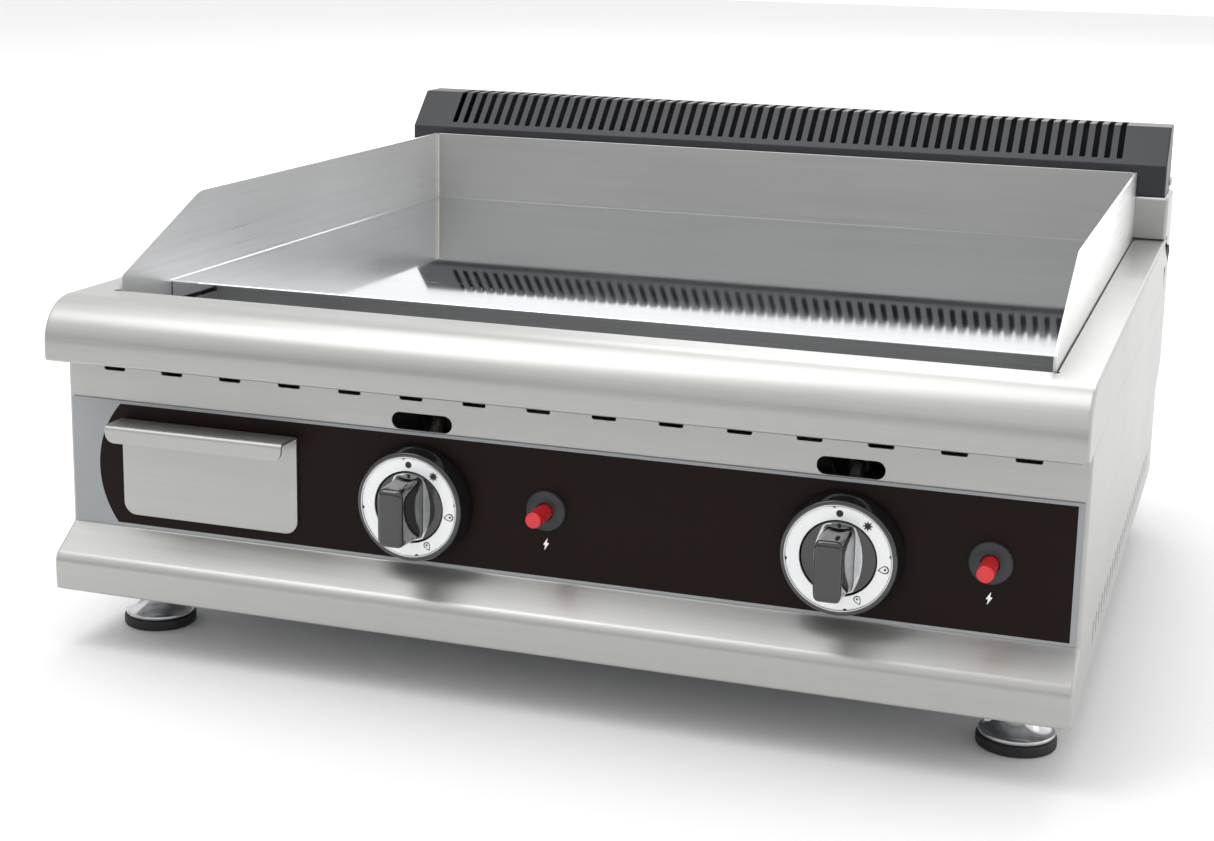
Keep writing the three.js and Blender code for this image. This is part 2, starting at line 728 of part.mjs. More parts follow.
/** Open-topped tray behind the face. */
function drawerTray() {
  const half = drawer.trayWidth / 2;
  const t = drawer.traySheet;
  const x = [drawer.centreX - half, drawer.centreX + half];
  const y = [overlayFaceY, overlayFaceY + drawer.trayLength];
  const z = [bottomZ + drawer.trayBottom, bottomZ + drawer.trayBottom + drawer.trayHeight];
  const hollow = block([x[0] + t, x[1] - t], [y[0] + t, y[1] - t], [z[0] + t, z[1] + 1]);
  return cut(block(x, y, z), hollow);
}

/** Angle that carries one side of the tray, with a stop at its rear end. */
function drawerRunner(side) {
  const t = drawer.runnerSheet;
  const innerX = drawer.trayWidth / 2 + clearance;
  const topZ = bottomZ + drawer.trayBottom - clearance;
  const fold = [[innerX + t - drawer.runnerLeg, topZ - t], [innerX + t, topZ - t], [innerX + t, topZ + drawer.runnerStop]];
  const frontY = panelY + sheet + clearance;
  const stopY = overlayFaceY + drawer.trayLength + clearance;
  const angle = alongY(foldedOutline(fold, t), frontY, stopY + t);
  const stop = block([innerX + t - drawer.runnerLeg, innerX + t / 2], [stopY, stopY + t], [topZ - t / 2, topZ + drawer.runnerStop]);
  const right = union(angle, stop);
  return (side > 0 ? right : right.mirror([1, 0, 0])).translate([drawer.centreX, 0, 0]);
}

/** Grease drawer and its runners. */
function drawerGroup() {
  const group = new THREE.Group();
  addPiece(group, 'grease_drawer_front', drawerFace(), finishes.stainless);
  addPiece(group, 'grease_drawer_tray', drawerTray(), finishes.stainless);
  for (const [name, side] of Object.entries(sides)) {
    addPiece(group, `drawer_runner_${name}`, drawerRunner(side), finishes.galvanised);
  }
  return group;
}

// ---------------------------------------------------------------- controls

/** Open bezel ring with a flared outer wall and a recess for the dial ring. */
function knobBezel() {
  const { bezelBase, bezelFront, bezelDepth, bezelBore, ringOuter } = knob;
  const shelf = bezelDepth - knob.ringThickness - 2 * clearance;
  const wallCurve = new THREE.QuadraticBezierCurve(
    new THREE.Vector2(bezelBase, clearance + 2),
    new THREE.Vector2(bezelBase - 0.5, bezelDepth * 0.6),
    new THREE.Vector2(bezelFront, bezelDepth - 0.6),
  ).getPoints(flareSteps).map((point) => [point.x, point.y]);
  return turned([
    [bezelBore, clearance], [bezelBase, clearance], ...wallCurve, [bezelFront - 0.6, bezelDepth],
    [ringOuter + clearance, bezelDepth], [ringOuter + clearance, shelf], [bezelBore, shelf],
    [bezelBore, clearance],
  ], dialSteps);
}

/** Flat dial ring that carries the marks. */
function dialRing() {
  const back = knob.bezelDepth - knob.ringThickness - clearance;
  const front = back + knob.ringThickness;
  return turned([
    [knob.ringInner, back], [knob.ringOuter, back], [knob.ringOuter, front], [knob.ringInner, front],
    [knob.ringInner, back],
  ], dialSteps);
}

/** Knob: round disc, hub and a tall bar grip with broken edges. */
function knobBody() {
  const face = knob.bezelDepth - 1;
  const back = face - knob.discThickness;
  const hubBack = back - 3;
  const disc = turned([
    [0, hubBack], [knob.hubRadius, hubBack], [knob.hubRadius, back], [knob.discRadius, back],
    [knob.discRadius, face - 0.6], [knob.discRadius - 0.6, face], [0, face],
  ], dialSteps);
  const half = [knob.gripWidth / 2 - knob.gripBevel, knob.gripHeight / 2 - knob.gripBevel];
  const outline = roundedRect([-half[0], half[0]], [-half[1], half[1]], knob.gripCorner);
  const bar = new THREE.ExtrudeGeometry(outline, {
    depth: knob.gripReach, curveSegments: 3, bevelSegments: 2,
    bevelSize: knob.gripBevel, bevelThickness: knob.gripBevel,
  });
  const grip = toSolid(bar.rotateX(Math.PI / 2).translate(0, -face + knob.gripBevel, 0));
  const socket = rodY(0, 0, valve.spindleRadius, -hubBack - 1 - 4, -hubBack + 1);
  return cut(union(disc, grip), socket);
}

/** Spindle from the knob's hub into the plug, with a driving flat. */
function spindle(plugFront) {
  const hubBack = knob.bezelDepth - 1 - knob.discThickness - 3;
  const tail = plugFront + valve.plugSocket - knob.push - 1;
  const rod = rodY(0, 0, valve.spindleRadius - valve.bearing, -hubBack - 4, tail);
  const flat = valve.spindleRadius * 0.7;
  const size = valve.spindleRadius * 2;
  return cut(rod, block([flat, flat + size], [plugFront, tail + 1], [-size, size]));
}

/** Push-button spark igniter: collar and barrel in one moulding, bored for the button. */
function igniterBody() {
  const { collarRadius, collarThickness, barrelRadius, barrelLength, boreRadius, boreDepth } = igniter;
  const front = collarThickness;
  return turned([
    [boreRadius, front], [collarRadius * 0.7, front], [collarRadius, front * 0.55], [collarRadius, clearance],
    [barrelRadius, clearance], [barrelRadius, -barrelLength], [0, -barrelLength], [0, front - boreDepth],
    [boreRadius, front - boreDepth], [boreRadius, front],
  ]);
}

/** Round push button with a slightly domed end. */
function igniterButton() {
  const front = igniter.collarThickness + igniter.buttonReach;
  const r = igniter.buttonRadius;
  return turned([
    [0, igniter.collarThickness - igniter.buttonTail], [r, igniter.collarThickness - igniter.buttonTail],
    [r, front - 0.8], [r - 0.8, front], [0, front],
  ]);
}

/** Nut behind the front panel. */
function igniterNut() {
  const y0 = panelY + sheet + clearance - overlayFaceY;
  const bore = rodY(0, 0, igniter.barrelRadius + 0.2, y0 - 1, y0 + igniter.nutThickness + 1);
  return cut(hexY(0, 0, igniter.nutAcross, y0, y0 + igniter.nutThickness), bore);
}

const valveFrontY = panelY + sheet + clearance - overlayFaceY; // behind the overlay's face
const plugFrontY = valveFrontY + valve.noseLength + (valve.depth - valve.plugLength) / 2;

/** Valve body on the gas rail: nose, bored block and gas outlet. */
function valveBody() {
  const y0 = valveFrontY;
  const y1 = y0 + valve.noseLength;
  const y2 = gasRail.centreY - gasRail.radius - clearance - overlayFaceY;
  const blockBody = block([-valve.width / 2, valve.width / 2], [y1, y2], [-valve.height / 2, valve.height / 2]);
  const outletY = injector.startY - overlayFaceY;
  const outlet = rodZ(0, outletY, valve.outletRadius, valve.height / 2 - 1, valve.height / 2 + valve.outletHeight);
  const body = union(blockBody, rodY(0, 0, valve.noseRadius, y0, y1 + 1), outlet);
  const plugBore = rodY(0, 0, valve.plugRadius + valve.bearing, plugFrontY - clearance, y2 + 1);
  return cut(body, rodY(0, 0, valve.spindleRadius, y0 - 1, plugFrontY), plugBore);
}

/** Turning plug with a socket for the spindle and a cross port. */
function valvePlug() {
  const y1 = plugFrontY + valve.plugLength;
  const plug = rodY(0, 0, valve.plugRadius, plugFrontY, y1);
  const socket = rodY(0, 0, valve.spindleRadius, plugFrontY - 1, plugFrontY + valve.plugSocket);
  const port = rodZ(0, (plugFrontY + valve.plugSocket + y1) / 2, 2.5, -1, valve.plugRadius + 1, 12);
  return cut(plug, socket, port);
}

/** Two control stations, each a knob with its valve and an igniter beside it. */
function controlsGroup() {
  const group = new THREE.Group();
  Object.keys(sides).forEach((name, i) => {
    const station = new THREE.Group();
    station.position.set(knobXs[i], overlayFaceY, knobAxisZ);
    addPiece(station, `knob_bezel_${name}`, knobBezel(), finishes.gloss);
    addPiece(station, `dial_ring_${name}`, dialRing(), finishes.dial);
    addPiece(station, `knob_${name}`, knobBody(), finishes.gloss);
    addPiece(station, `valve_spindle_${name}`, spindle(plugFrontY), finishes.steel);
    addPiece(station, `valve_body_${name}`, valveBody(), finishes.brass);
    addPiece(station, `valve_plug_${name}`, valvePlug(), finishes.brass);
    const spark = new THREE.Group();
    spark.position.set(igniter.offsetX, 0, igniter.raise);
    addPiece(spark, `igniter_body_${name}`, igniterBody(), finishes.plastic);
    addPiece(spark, `igniter_button_${name}`, igniterButton(), finishes.red);
    addPiece(spark, `igniter_nut_${name}`, igniterNut(), finishes.plastic);
    station.add(spark);
    group.add(station);
  });
  return group;
}

// ---------------------------------------------------------------- gas train and burners

/** U-shaped burner path: out along one leg, round the rear turn and back along the other. */
class BurnerPath extends THREE.Curve {
  constructor(x) {
    super();
    this.x = x;
    this.radius = legPitch / 2;
    this.out = burner.turnY - burner.mouthY;
    this.turn = Math.PI * this.radius;
    this.back = burner.turnY - burner.closedY;
  }

  getPoint(t, target = new THREE.Vector3()) {
    const travelled = t * (this.out + this.turn + this.back);
    if (travelled <= this.out) return target.set(this.x, burner.mouthY + travelled, burnerZ);
    const turned = travelled - this.out;
    if (turned >= this.turn) {
      return target.set(this.x - 2 * this.radius, burner.turnY - (turned - this.turn), burnerZ);
    }
    const angle = turned / this.radius;
    const centreX = this.x - this.radius;
    return target.set(
      centreX + this.radius * Math.cos(angle), burner.turnY + this.radius * Math.sin(angle), burnerZ,
    );
  }
}

/** Tubular burner with a bell mouth that draws in air round the injector. */
function burnerTube(x) {
  const body = tube(new BurnerPath(x), burner.radius, 0, 20, 14);
  const bell = turned([
    [0, 0], [burner.bellRadius, 0], [burner.bellRadius, -2], [burner.radius + 1, -burner.bellLength],
    [0, -burner.bellLength],
  ]).translate([x, burner.mouthY, burnerZ]);
  const bore = turned([
    [0, 1], [burner.bellRadius - 2, 1], [burner.bellRadius - 2, 0], [burner.mouthBore, -burner.bellLength],
    [burner.mouthBore, -burner.mouthDepth], [0, -burner.mouthDepth],
  ]).translate([x, burner.mouthY, burnerZ]);
  return cut(union(body, bell), bore);
}

/** Feed pipe from the valve's outlet up to the injector in front of the burner's mouth. */
function injectorPipe(x) {
  const startZ = knobAxisZ + valve.height / 2 + valve.outletHeight + clearance;
  const bend = injector.endY - injector.startY - injector.tipLength;
  const path = new THREE.CurvePath();
  const [start, low, corner, end] = [
    [startZ, injector.startY], [burnerZ - bend, injector.startY], [burnerZ, injector.startY],
    [burnerZ, injector.startY + bend],
  ].map(([z, y]) => new THREE.Vector3(x, y, z));
  path.add(new THREE.LineCurve3(start, low));
  path.add(new THREE.QuadraticBezierCurve3(low, corner, end));
  const tip = hexY(x, burnerZ, 2 * injector.tipRadius, end.y - 0.5, injector.endY);
  const bore = rodY(x, burnerZ, 1.2, end.y + 2, injector.endY + 1, 8);
  return cut(union(tube(path, injector.radius, 0, 6, 10), tip), bore);
}

/** Gas rail behind the valves, closed at its left end. */
function gasRailPipe() {
  const bore = gasRail.radius - gasRail.wall;
  const closedEnd = gasRail.left + 2 * gasRail.wall;
  return turnedRight([
    [0, gasRail.left], [gasRail.radius, gasRail.left], [gasRail.radius, gasRail.right], [bore, gasRail.right],
    [bore, closedEnd], [0, closedEnd],
  ]).translate([0, gasRail.centreY, knobAxisZ]);
}

/** Supply pipe from the rail's open end, round the corner and back to the inlet. */
function supplyPipe() {
  const inletZ = bottomZ + supply.inletHeight;
  const endY = rearY - sheet - clearance - inlet.hexThickness - clearance;
  const startX = gasRail.right + clearance;
  const path = new THREE.CatmullRomCurve3([
    [startX, gasRail.centreY, knobAxisZ],
    [startX + 4, gasRail.centreY, knobAxisZ],
    [supply.sideRun, gasRail.centreY + supply.bend, knobAxisZ - 1],
    [supply.sideRun, (gasRail.centreY + endY) / 2, (knobAxisZ + inletZ) / 2],
    [supply.sideRun, endY - 40, inletZ + 1],
    [supply.sideRun, endY, inletZ],
  ].map((point) => new THREE.Vector3(...point)), false, 'centripetal');
  return tube(path, supply.radius, supply.wall, 18, 10);
}

/** Threaded inlet: hexagon inside the rear panel and nipple outside. */
function gasInlet() {
  const z = bottomZ + supply.inletHeight;
  const hexEnd = rearY - sheet - clearance;
  const body = union(
    hexY(supply.sideRun, z, inlet.hexAcross, hexEnd - inlet.hexThickness, hexEnd),
    rodY(supply.sideRun, z, inlet.threadRadius, hexEnd - 1, rearY + inlet.reach),
  );
  return cut(body, rodY(supply.sideRun, z, inlet.bore, hexEnd - inlet.hexThickness - 1, rearY + inlet.reach + 1));
}

/** Folded heat shield under the burners, open at the rear towards the flue windows. */
function burnerTray() {
  const [z0, z1] = [bottomZ + chamber.floor, bottomZ + chamber.floor + chamber.rim];
  const half = halfWidth - chamber.side;
  const endY = rearY - 2 * sheet - 2 * clearance;
  const t = chamber.wall;
  const outer = block([-half, half], [chamber.front, endY], [z0, z1]);
  const inner = block([-half + t, half - t], [chamber.front + t, endY + 1], [z0 + t, z1 + 1]);
  const legs = knobXs.map((x) => rodY(x, burnerZ, burner.radius + 1, chamber.front - 1, chamber.front + t + 1));
  return cut(outer, inner, ...legs);
}

/** Bracket with the pilot burner's tube, which fires across the main burner. */
function pilotBurner(x) {
  const y = chamber.front + chamber.wall + clearance;
  const left = x + pilot.offset;
  const z1 = bottomZ + chamber.floor + chamber.rim - 2;
  const bracket = block([left, left + pilot.bracketWidth], [y, y + 1.5], [z1 - pilot.bracketHeight, z1]);
  const axis = left + pilot.pitch / 2;
  const body = union(
    bracket, rodY(axis, burnerZ, pilot.tubeRadius, y + 1, y + pilot.length),
    rodZ(axis, y + pilot.length, pilot.tubeRadius + 1.2, burnerZ - 5, burnerZ + 7),
  );
  return cut(body, rodZ(axis, y + pilot.length, pilot.tubeRadius - 1, burnerZ, burnerZ + 8));
}

/** Flame probe standing beside the pilot's flame. */
function thermocouple(x) {
  const y = chamber.front + chamber.wall + clearance + 1.5 + clearance;
  const axis = x + pilot.offset + 1.5 * pilot.pitch;
  return union(rodY(axis, burnerZ, 3.4, y, y + 8), rodY(axis, burnerZ, 2.2, y + 7, y + pilot.length + 6));
}

/** Spark electrode: ceramic sleeve round a wire that bends towards the pilot. */
function sparkElectrode(x) {
  const y = chamber.front + chamber.wall + clearance + 1.5 + clearance;
  const axis = x + pilot.offset + 2.5 * pilot.pitch;
  return union(rodY(axis, burnerZ, 3.2, y, y + 16), rodY(axis, burnerZ, 1.2, y + 15, y + pilot.length + 3, 12));
}

/** Rail, supply, burners, pilots and heat shield. */
function gasGroup() {
  const group = new THREE.Group();
  addPiece(group, 'gas_rail', gasRailPipe(), finishes.steel);
  addPiece(group, 'supply_pipe', supplyPipe(), finishes.steel);
  addPiece(group, 'gas_inlet', gasInlet(), finishes.brass);
  addPiece(group, 'burner_tray', burnerTray(), finishes.galvanised);
  Object.keys(sides).forEach((name, i) => {
    const x = knobXs[i];
    addPiece(group, `injector_pipe_${name}`, injectorPipe(x), finishes.brass);
    addPiece(group, `burner_${name}`, burnerTube(x), finishes.burner);
    addPiece(group, `pilot_burner_${name}`, pilotBurner(x), finishes.steel);
    addPiece(group, `thermocouple_${name}`, thermocouple(x), finishes.steel);
    addPiece(group, `spark_electrode_${name}`, sparkElectrode(x), finishes.ceramic);
  });
  return group;
}

// ---------------------------------------------------------------- flue

/** Riser behind the cabinet and box on the worktop, in one folded duct open to the windows and above. */
function flueDuct() {
  const top = deckZ + flue.height;
  const [frontLow, backLow] = [bottomZ + flue.lowerFront, bottomZ + flue.lowerRear];
  const [y0, y1, y2] = [flue.front, rearY + clearance, flue.rear];
  const shelfZ = deckZ + clearance;
  const incline = (backLow - frontLow) / (y2 - y1);
  const floorZ = (y) => frontLow + (y - y1) * incline + sheet * Math.hypot(1, incline);
  const inside = halfWidth - sheet;
  const outer = polygon([
    [y1, frontLow], [y2, backLow], [y2, top], [y0, top], [y0, shelfZ], [y1, shelfZ],
  ]);
  const hollow = polygon([
    [y1 - 1, floorZ(y1 - 1)], [y2 - sheet, floorZ(y2 - sheet)], [y2 - sheet, top - sheet],
    [y0 + sheet, top - sheet], [y0 + sheet, shelfZ + sheet], [y1 - 1, shelfZ + sheet],
  ]);
  const mouth = block([flue.lip - halfWidth, halfWidth - flue.lip], [y0 + flue.lip, y2 - flue.lip], [top - 2 * sheet, top + 1]);
  return cut(alongX(outer, -halfWidth, halfWidth), alongX(hollow, -inside, inside), mouth);
}

/** Folded cap with closed ends and slots that wrap from its slope over its top. */
function flueCap() {
  const z0 = deckZ + flue.height + clearance;
  const [y0, y3] = [flue.front + cap.setback, flue.rear - cap.setback];
  const z1 = z0 + cap.bandHeight;
  const [y2, z2] = [y0 + cap.slopeRun, z1 + cap.slopeRise];
  const fold = [[y3, z0], [y3, z2], [y2, z2], [y0, z1], [y0, z0]];
  const slope = new THREE.Vector2(y2 - y0, z2 - z1).normalize();
  const over = 2 * sheet;
  const start = new THREE.Vector2(y0, z1).addScaledVector(slope, cap.slotStart);
  const outside = start.clone().add(new THREE.Vector2(-slope.y, slope.x).multiplyScalar(sheet));
  const track = [
    [outside.x, outside.y], [y2 - sheet, z2 + sheet], [y3 - cap.slotEnd, z2 + sheet],
  ];
  const slotOutline = foldedOutline(track, -over - sheet);
  const slots = Array.from({ length: cap.slotCount }, (_, i) => {
    const x = (i - (cap.slotCount - 1) / 2) * cap.slotPitch;
    return alongX(slotOutline, x - cap.slotWidth / 2, x + cap.slotWidth / 2);
  });
  return cut(channel(fold, sheet, halfWidth - cap.sideMargin), ...slots);
}

/** Flue duct and its cap. */
function flueGroup() {
  const group = new THREE.Group();
  addPiece(group, 'flue_duct', flueDuct(), finishes.stainless);
  addPiece(group, 'flue_cap', flueCap(), finishes.anthracite);
  return group;
}

// ---------------------------------------------------------------- assembly

const griddle = new THREE.Group();
griddle.add(
  cabinetGroup(), feetGroup(), cookingGroup(), drawerGroup(), controlsGroup(), gasGroup(), flueGroup(),
);
griddle.position.y = -(gripFrontY + flue.rear) / 2; // origin at the middle of the footprint
griddle.updateMatrixWorld(true);

export default griddle;
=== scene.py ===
"""Looks of a counter-top gas griddle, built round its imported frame.

Sub-assembly classes build numpy surfaces in millimetres, with y = 0 at the deck's rolled front edge, and the
workshop moves them into the frame in metres. Sheet-metal pieces are flat blanks that are bent along a folded
path, turned pieces are profiles swept round an axis, and thick plates are slabs with rounded edges.
"""

from __future__ import annotations

import logging
import math
from dataclasses import dataclass, field
from enum import Enum
from typing import Iterable, Sequence

import bmesh
import bpy
import numpy as np
from mathutils import Euler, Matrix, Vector
from mathutils.geometry import delaunay_2d_cdt


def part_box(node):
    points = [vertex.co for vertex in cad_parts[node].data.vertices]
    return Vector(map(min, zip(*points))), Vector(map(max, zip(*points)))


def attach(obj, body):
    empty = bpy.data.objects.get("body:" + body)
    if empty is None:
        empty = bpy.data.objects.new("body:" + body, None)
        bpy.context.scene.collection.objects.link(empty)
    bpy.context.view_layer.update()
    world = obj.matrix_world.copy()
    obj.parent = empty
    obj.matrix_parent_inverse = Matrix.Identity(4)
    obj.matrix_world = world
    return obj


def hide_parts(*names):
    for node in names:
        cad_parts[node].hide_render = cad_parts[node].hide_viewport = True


Array = np.ndarray
log = logging.getLogger("griddle")
MM = 0.001
FOOT_ROWS = (65.0, 485.0)  # the feet's axes behind the rolled edge
FOOT_SPREAD = 266.0  # the cabinet's middle to a foot's axis
CREASE = math.radians(34)  # faces that meet at more than this stay sharp
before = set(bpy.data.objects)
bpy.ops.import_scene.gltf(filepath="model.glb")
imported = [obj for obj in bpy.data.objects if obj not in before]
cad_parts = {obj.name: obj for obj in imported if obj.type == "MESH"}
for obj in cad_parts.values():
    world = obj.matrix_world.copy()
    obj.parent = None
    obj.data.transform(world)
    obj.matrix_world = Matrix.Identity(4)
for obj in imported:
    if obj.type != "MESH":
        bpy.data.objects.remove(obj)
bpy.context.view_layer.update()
FRONT_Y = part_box("top_deck")[0].y / MM  # the rolled front edge, in the frame


class Along(Enum):
    """The frame axis that a section is carried along, or a slab is thick along."""

    X = "x"
    Y = "y"
    Z = "z"

    def place(self, a: Array, b: Array, c: Array) -> Array:
        """Puts section coordinates a and b and the distance c along the axis into x, y and z."""
        orders = {Along.X: (c, a, b), Along.Y: (a, c, b), Along.Z: (a, b, c)}
        return np.stack(np.broadcast_arrays(*orders[self]), axis=-1).astype(float)


# ---------------------------------------------------------------- surfaces


@dataclass
class Surface:
    """Points in millimetres with their faces, grown patch by patch."""

    points: Array = field(default_factory=lambda: np.zeros((0, 3)))
    faces: list[Array] = field(default_factory=list)

    def add(self, points: Array, *faces: Array) -> "Surface":
        """Adds points and the faces that index them, and returns the surface."""
        base = len(self.points)
        self.points = np.concatenate([self.points, np.reshape(points, (-1, 3))])
        self.faces += [np.asarray(f) + base for f in faces if len(f)]
        return self

    def join(self, *others: "Surface") -> "Surface":
        """Adds other surfaces to this one."""
        for other in others:
            self.add(other.points, *other.faces)
        return self

    def mirrored(self) -> "Surface":
        """The same surface on the other side of x = 0; its normals are worked out afresh later."""
        return Surface(self.points * np.array([-1, 1, 1]), list(self.faces))


def grid(points: Array, wrap_rows: bool = False, wrap_columns: bool = False) -> Surface:
    """Quads between neighbours of a rows by columns by 3 array of points.

    Args:
        points: the surface's value at each pair of parameters.
        wrap_rows: joins the last row to the first.
        wrap_columns: joins the last column to the first.
    Returns:
        The surface.
    """
    rows, columns = points.shape[:2]
    i, j = np.meshgrid(np.arange(rows - (not wrap_rows)), np.arange(columns - (not wrap_columns)),
                       indexing="ij")
    k, m = (i + 1) % rows, (j + 1) % columns
    quads = np.stack([i * columns + j, i * columns + m, k * columns + m, k * columns + j], axis=-1)
    return Surface().add(points, quads.reshape(-1, 4))


def rounded(corners: Sequence, radii: float | Sequence[float], steps: int = 6, closed: bool = True) -> Array:
    """A polyline with each corner replaced by a circular arc that touches both its sides.

    The arc's centre lies on the corner's bisector at radius over the sine of the half angle, and its
    points are the centre plus the radius turned evenly from one touching point to the other.

    Args:
        corners: the corner points.
        radii: one radius, or one for each corner.
        steps: segments in each arc.
        closed: whether the line closes on itself; an open line keeps its two ends.
    Returns:
        The points, with repeated ones left out.
    """
    p = np.array(corners, float)
    r = np.broadcast_to(np.asarray(radii, float), len(p))[:, None]
    before, after = np.roll(p, 1, 0) - p, np.roll(p, -1, 0) - p
    a, b = (v / np.maximum(np.linalg.norm(v, axis=1, keepdims=True), 1e-9) for v in (before, after))
    half = np.arccos(np.clip((a * b).sum(1, keepdims=True), -1, 1)) / 2
    bisector = a + b
    bisector /= np.maximum(np.linalg.norm(bisector, axis=1, keepdims=True), 1e-9)
    centre = p + bisector * r / np.maximum(np.sin(half), 1e-6)
    reach = r / np.maximum(np.tan(half), 1e-6)
    first, last = p + a * reach - centre, p + b * reach - centre
    start = np.arctan2(first[:, 1], first[:, 0])
    turn = (np.arctan2(last[:, 1], last[:, 0]) - start + np.pi) % (2 * np.pi) - np.pi
    angle = start[:, None] + turn[:, None] * np.linspace(0, 1, steps + 1)
    arcs = centre[:, None] + r[:, None] * np.stack([np.cos(angle), np.sin(angle)], axis=-1)
    arcs = np.where(r[:, None] > 1e-6, arcs, p[:, None])
    if not closed:
        arcs[0], arcs[-1] = p[0], p[-1]
    line = arcs.reshape(-1, 2)
    keep = np.linalg.norm(line - np.roll(line, 1, 0), axis=1) > 1e-5
    keep[0] = True if not closed else keep[0]
    return line[keep]


def box_loop(a: Sequence[float], b: Sequence[float], radius: float = 0, steps: int = 5) -> Array:
    """A rectangle between two values of each coordinate, with rounded corners, anticlockwise."""
    return rounded([(a[0], b[0]), (a[1], b[0]), (a[1], b[1]), (a[0], b[1])], radius, steps)


@dataclass(frozen=True)
class SlotRow:
    """A row of equal slots: how many, their pitch and width, and the middle of the first."""

    count: int
    pitch: float
    width: float
    first: float


def slot_row(row: SlotRow, across: Sequence[float], radius: float, steps: int = 5) -> list[Array]:
    """Loops of a row of slots.

    Args:
        row: The row's sizes.
        across: Low and high limits of every slot, across the row.
        radius: Corner radius.
        steps: Steps of a corner.

    Returns:
        One loop for each slot.
    """
    middles = [row.first + row.pitch * i for i in range(row.count)]
    return [box_loop((x - row.width / 2, x + row.width / 2), across, radius, steps) for x in middles]


def ring_loop(centre: Sequence[float], radius: float, steps: int = 32) -> Array:
    """A circle, anticlockwise."""
    t = np.linspace(0, 2 * np.pi, steps, endpoint=False)
    return np.array(centre) + radius * np.stack([np.cos(t), np.sin(t)], axis=-1)


def mitres(line: Array, closed: bool = True) -> Array:
    """Left-hand normals at the points of a line, lengthened so that an offset keeps its width at corners."""
    along = np.roll(line, -1, 0) - line
    if not closed:
        along[-1] = along[-2]
    along /= np.maximum(np.linalg.norm(along, axis=1, keepdims=True), 1e-9)
    normal = np.stack([-along[:, 1], along[:, 0]], axis=-1)
    previous = np.roll(normal, 1, 0)
    if not closed:
        previous[0] = normal[0]
    return (normal + previous) / (1 + (normal * previous).sum(1, keepdims=True))


def inside(points: Array, loop: Array) -> Array:
    """Which points lie inside a loop, by counting the sides that a level ray from each point crosses."""
    x, y = points[:, :1], points[:, 1:]
    (x0, y0), (x1, y1) = loop.T, np.roll(loop, -1, 0).T
    crosses = (y0 > y) != (y1 > y)
    rise = np.where(np.abs(y1 - y0) < 1e-12, 1e-12, y1 - y0)
    return (crosses & (x < x0 + (y - y0) * (x1 - x0) / rise)).sum(1) % 2 == 1


def filled(loops: Sequence[Array], bends: Sequence[tuple] = ()) -> tuple[Array, Array]:
    """Triangles that fill the first loop and leave the others open.

    Args:
        loops: the outline and then its holes.
        bends: pairs of end points of lines that no triangle may cross.
    Returns:
        The points, n by 2, and the triangles, m by 3.
    """
    coords, edges = [], []
    for loop in loops:
        index = len(coords) + np.arange(len(loop))
        edges += np.stack([index, np.roll(index, -1)], axis=-1).tolist()
        coords += loop.tolist()
    for ends in bends:
        edges.append((len(coords), len(coords) + 1))
        coords += [tuple(end) for end in ends]
    found = delaunay_2d_cdt([Vector(c) for c in coords], edges, [], 0, 1e-5)
    points, triangles = np.array([tuple(v) for v in found[0]]), np.array(found[2])
    centre = points[triangles].mean(1)
    keep = inside(centre, loops[0])
    for hole in loops[1:]:
        keep &= ~inside(centre, hole)
    return points, triangles[keep]


def slab(loops: Sequence[Array], low: float, high: float, edge: float, along: Along,
         steps: int = 3) -> Surface:
    """A plate with holes and rounded rims.

    Each rim is the loop moved into the material by edge times one minus the cosine, and along the
    thickness by edge times one minus the sine, of an angle from 0 to 90 degrees.

    Args:
        loops: the outline anticlockwise, then the holes clockwise, in section coordinates.
        low: one face, along the axis.
        high: the other face.
        edge: radius of the rims.
        along: the axis of the thickness.
        steps: segments in each rim.
    Returns:
        The closed surface.
    """
    t = np.linspace(0, np.pi / 2, steps + 1)
    inset = edge * (1 - np.cos(t))
    rise = edge * (1 - np.sin(t))
    offsets = np.concatenate([inset[::-1], inset])
    levels = np.concatenate([low + rise[::-1], high - rise])
    surface, caps = Surface(), []
    for loop in loops:
        rows = loop[None] + mitres(loop)[None] * offsets[:, None, None]
        surface.join(grid(along.place(rows[..., 0], rows[..., 1], levels[:, None]), wrap_columns=True))
        caps.append(rows[0])
    points, triangles = filled(caps)
    for level in (low, high):
        surface.add(along.place(points[:, 0], points[:, 1], np.full(len(points), level)), triangles)
    return surface


def turned(profile: Array, centre: Sequence[float], along: Along, steps: int = 64) -> Surface:
    """A profile of radius and distance along the axis, swept once round the axis through centre."""
    t = np.linspace(0, 2 * np.pi, steps, endpoint=False)
    radius, distance = np.asarray(profile, float).T
    a, b = radius[:, None] * np.cos(t), radius[:, None] * np.sin(t)
    points = along.place(a, b, distance[:, None] + 0 * t)
    return grid(points + np.array(centre, float), wrap_columns=True)


def piped(line: Array, radius: Array | float, sides: int = 12) -> Surface:
    """A round bar along a line of points, closed at its ends.

    Two directions across the line are carried along it, and each section is the point plus the radius
    times the cosine of one and the sine of the other.
    """
    line = np.asarray(line, float)
    along = np.gradient(line, axis=0)
    along /= np.linalg.norm(along, axis=1, keepdims=True)
    reference = np.where(np.abs(along[:, 2:]) > 0.9, np.array([[1.0, 0, 0]]), np.array([[0, 0, 1.0]]))
    across = np.cross(along, reference)
    across /= np.linalg.norm(across, axis=1, keepdims=True)
    other = np.cross(along, across)
    t = np.linspace(0, 2 * np.pi, sides, endpoint=False)
    size = np.broadcast_to(radius, len(line))[:, None, None]
    level, upright = np.cos(t)[None, :, None] * across[:, None], np.sin(t)[None, :, None] * other[:, None]
    body = line[:, None] + size * (level + upright)
    ends = [np.repeat(line[k][None, None], sides, 1) for k in (0, -1)]
    return grid(np.concatenate([ends[0], body, ends[1]]), wrap_columns=True)


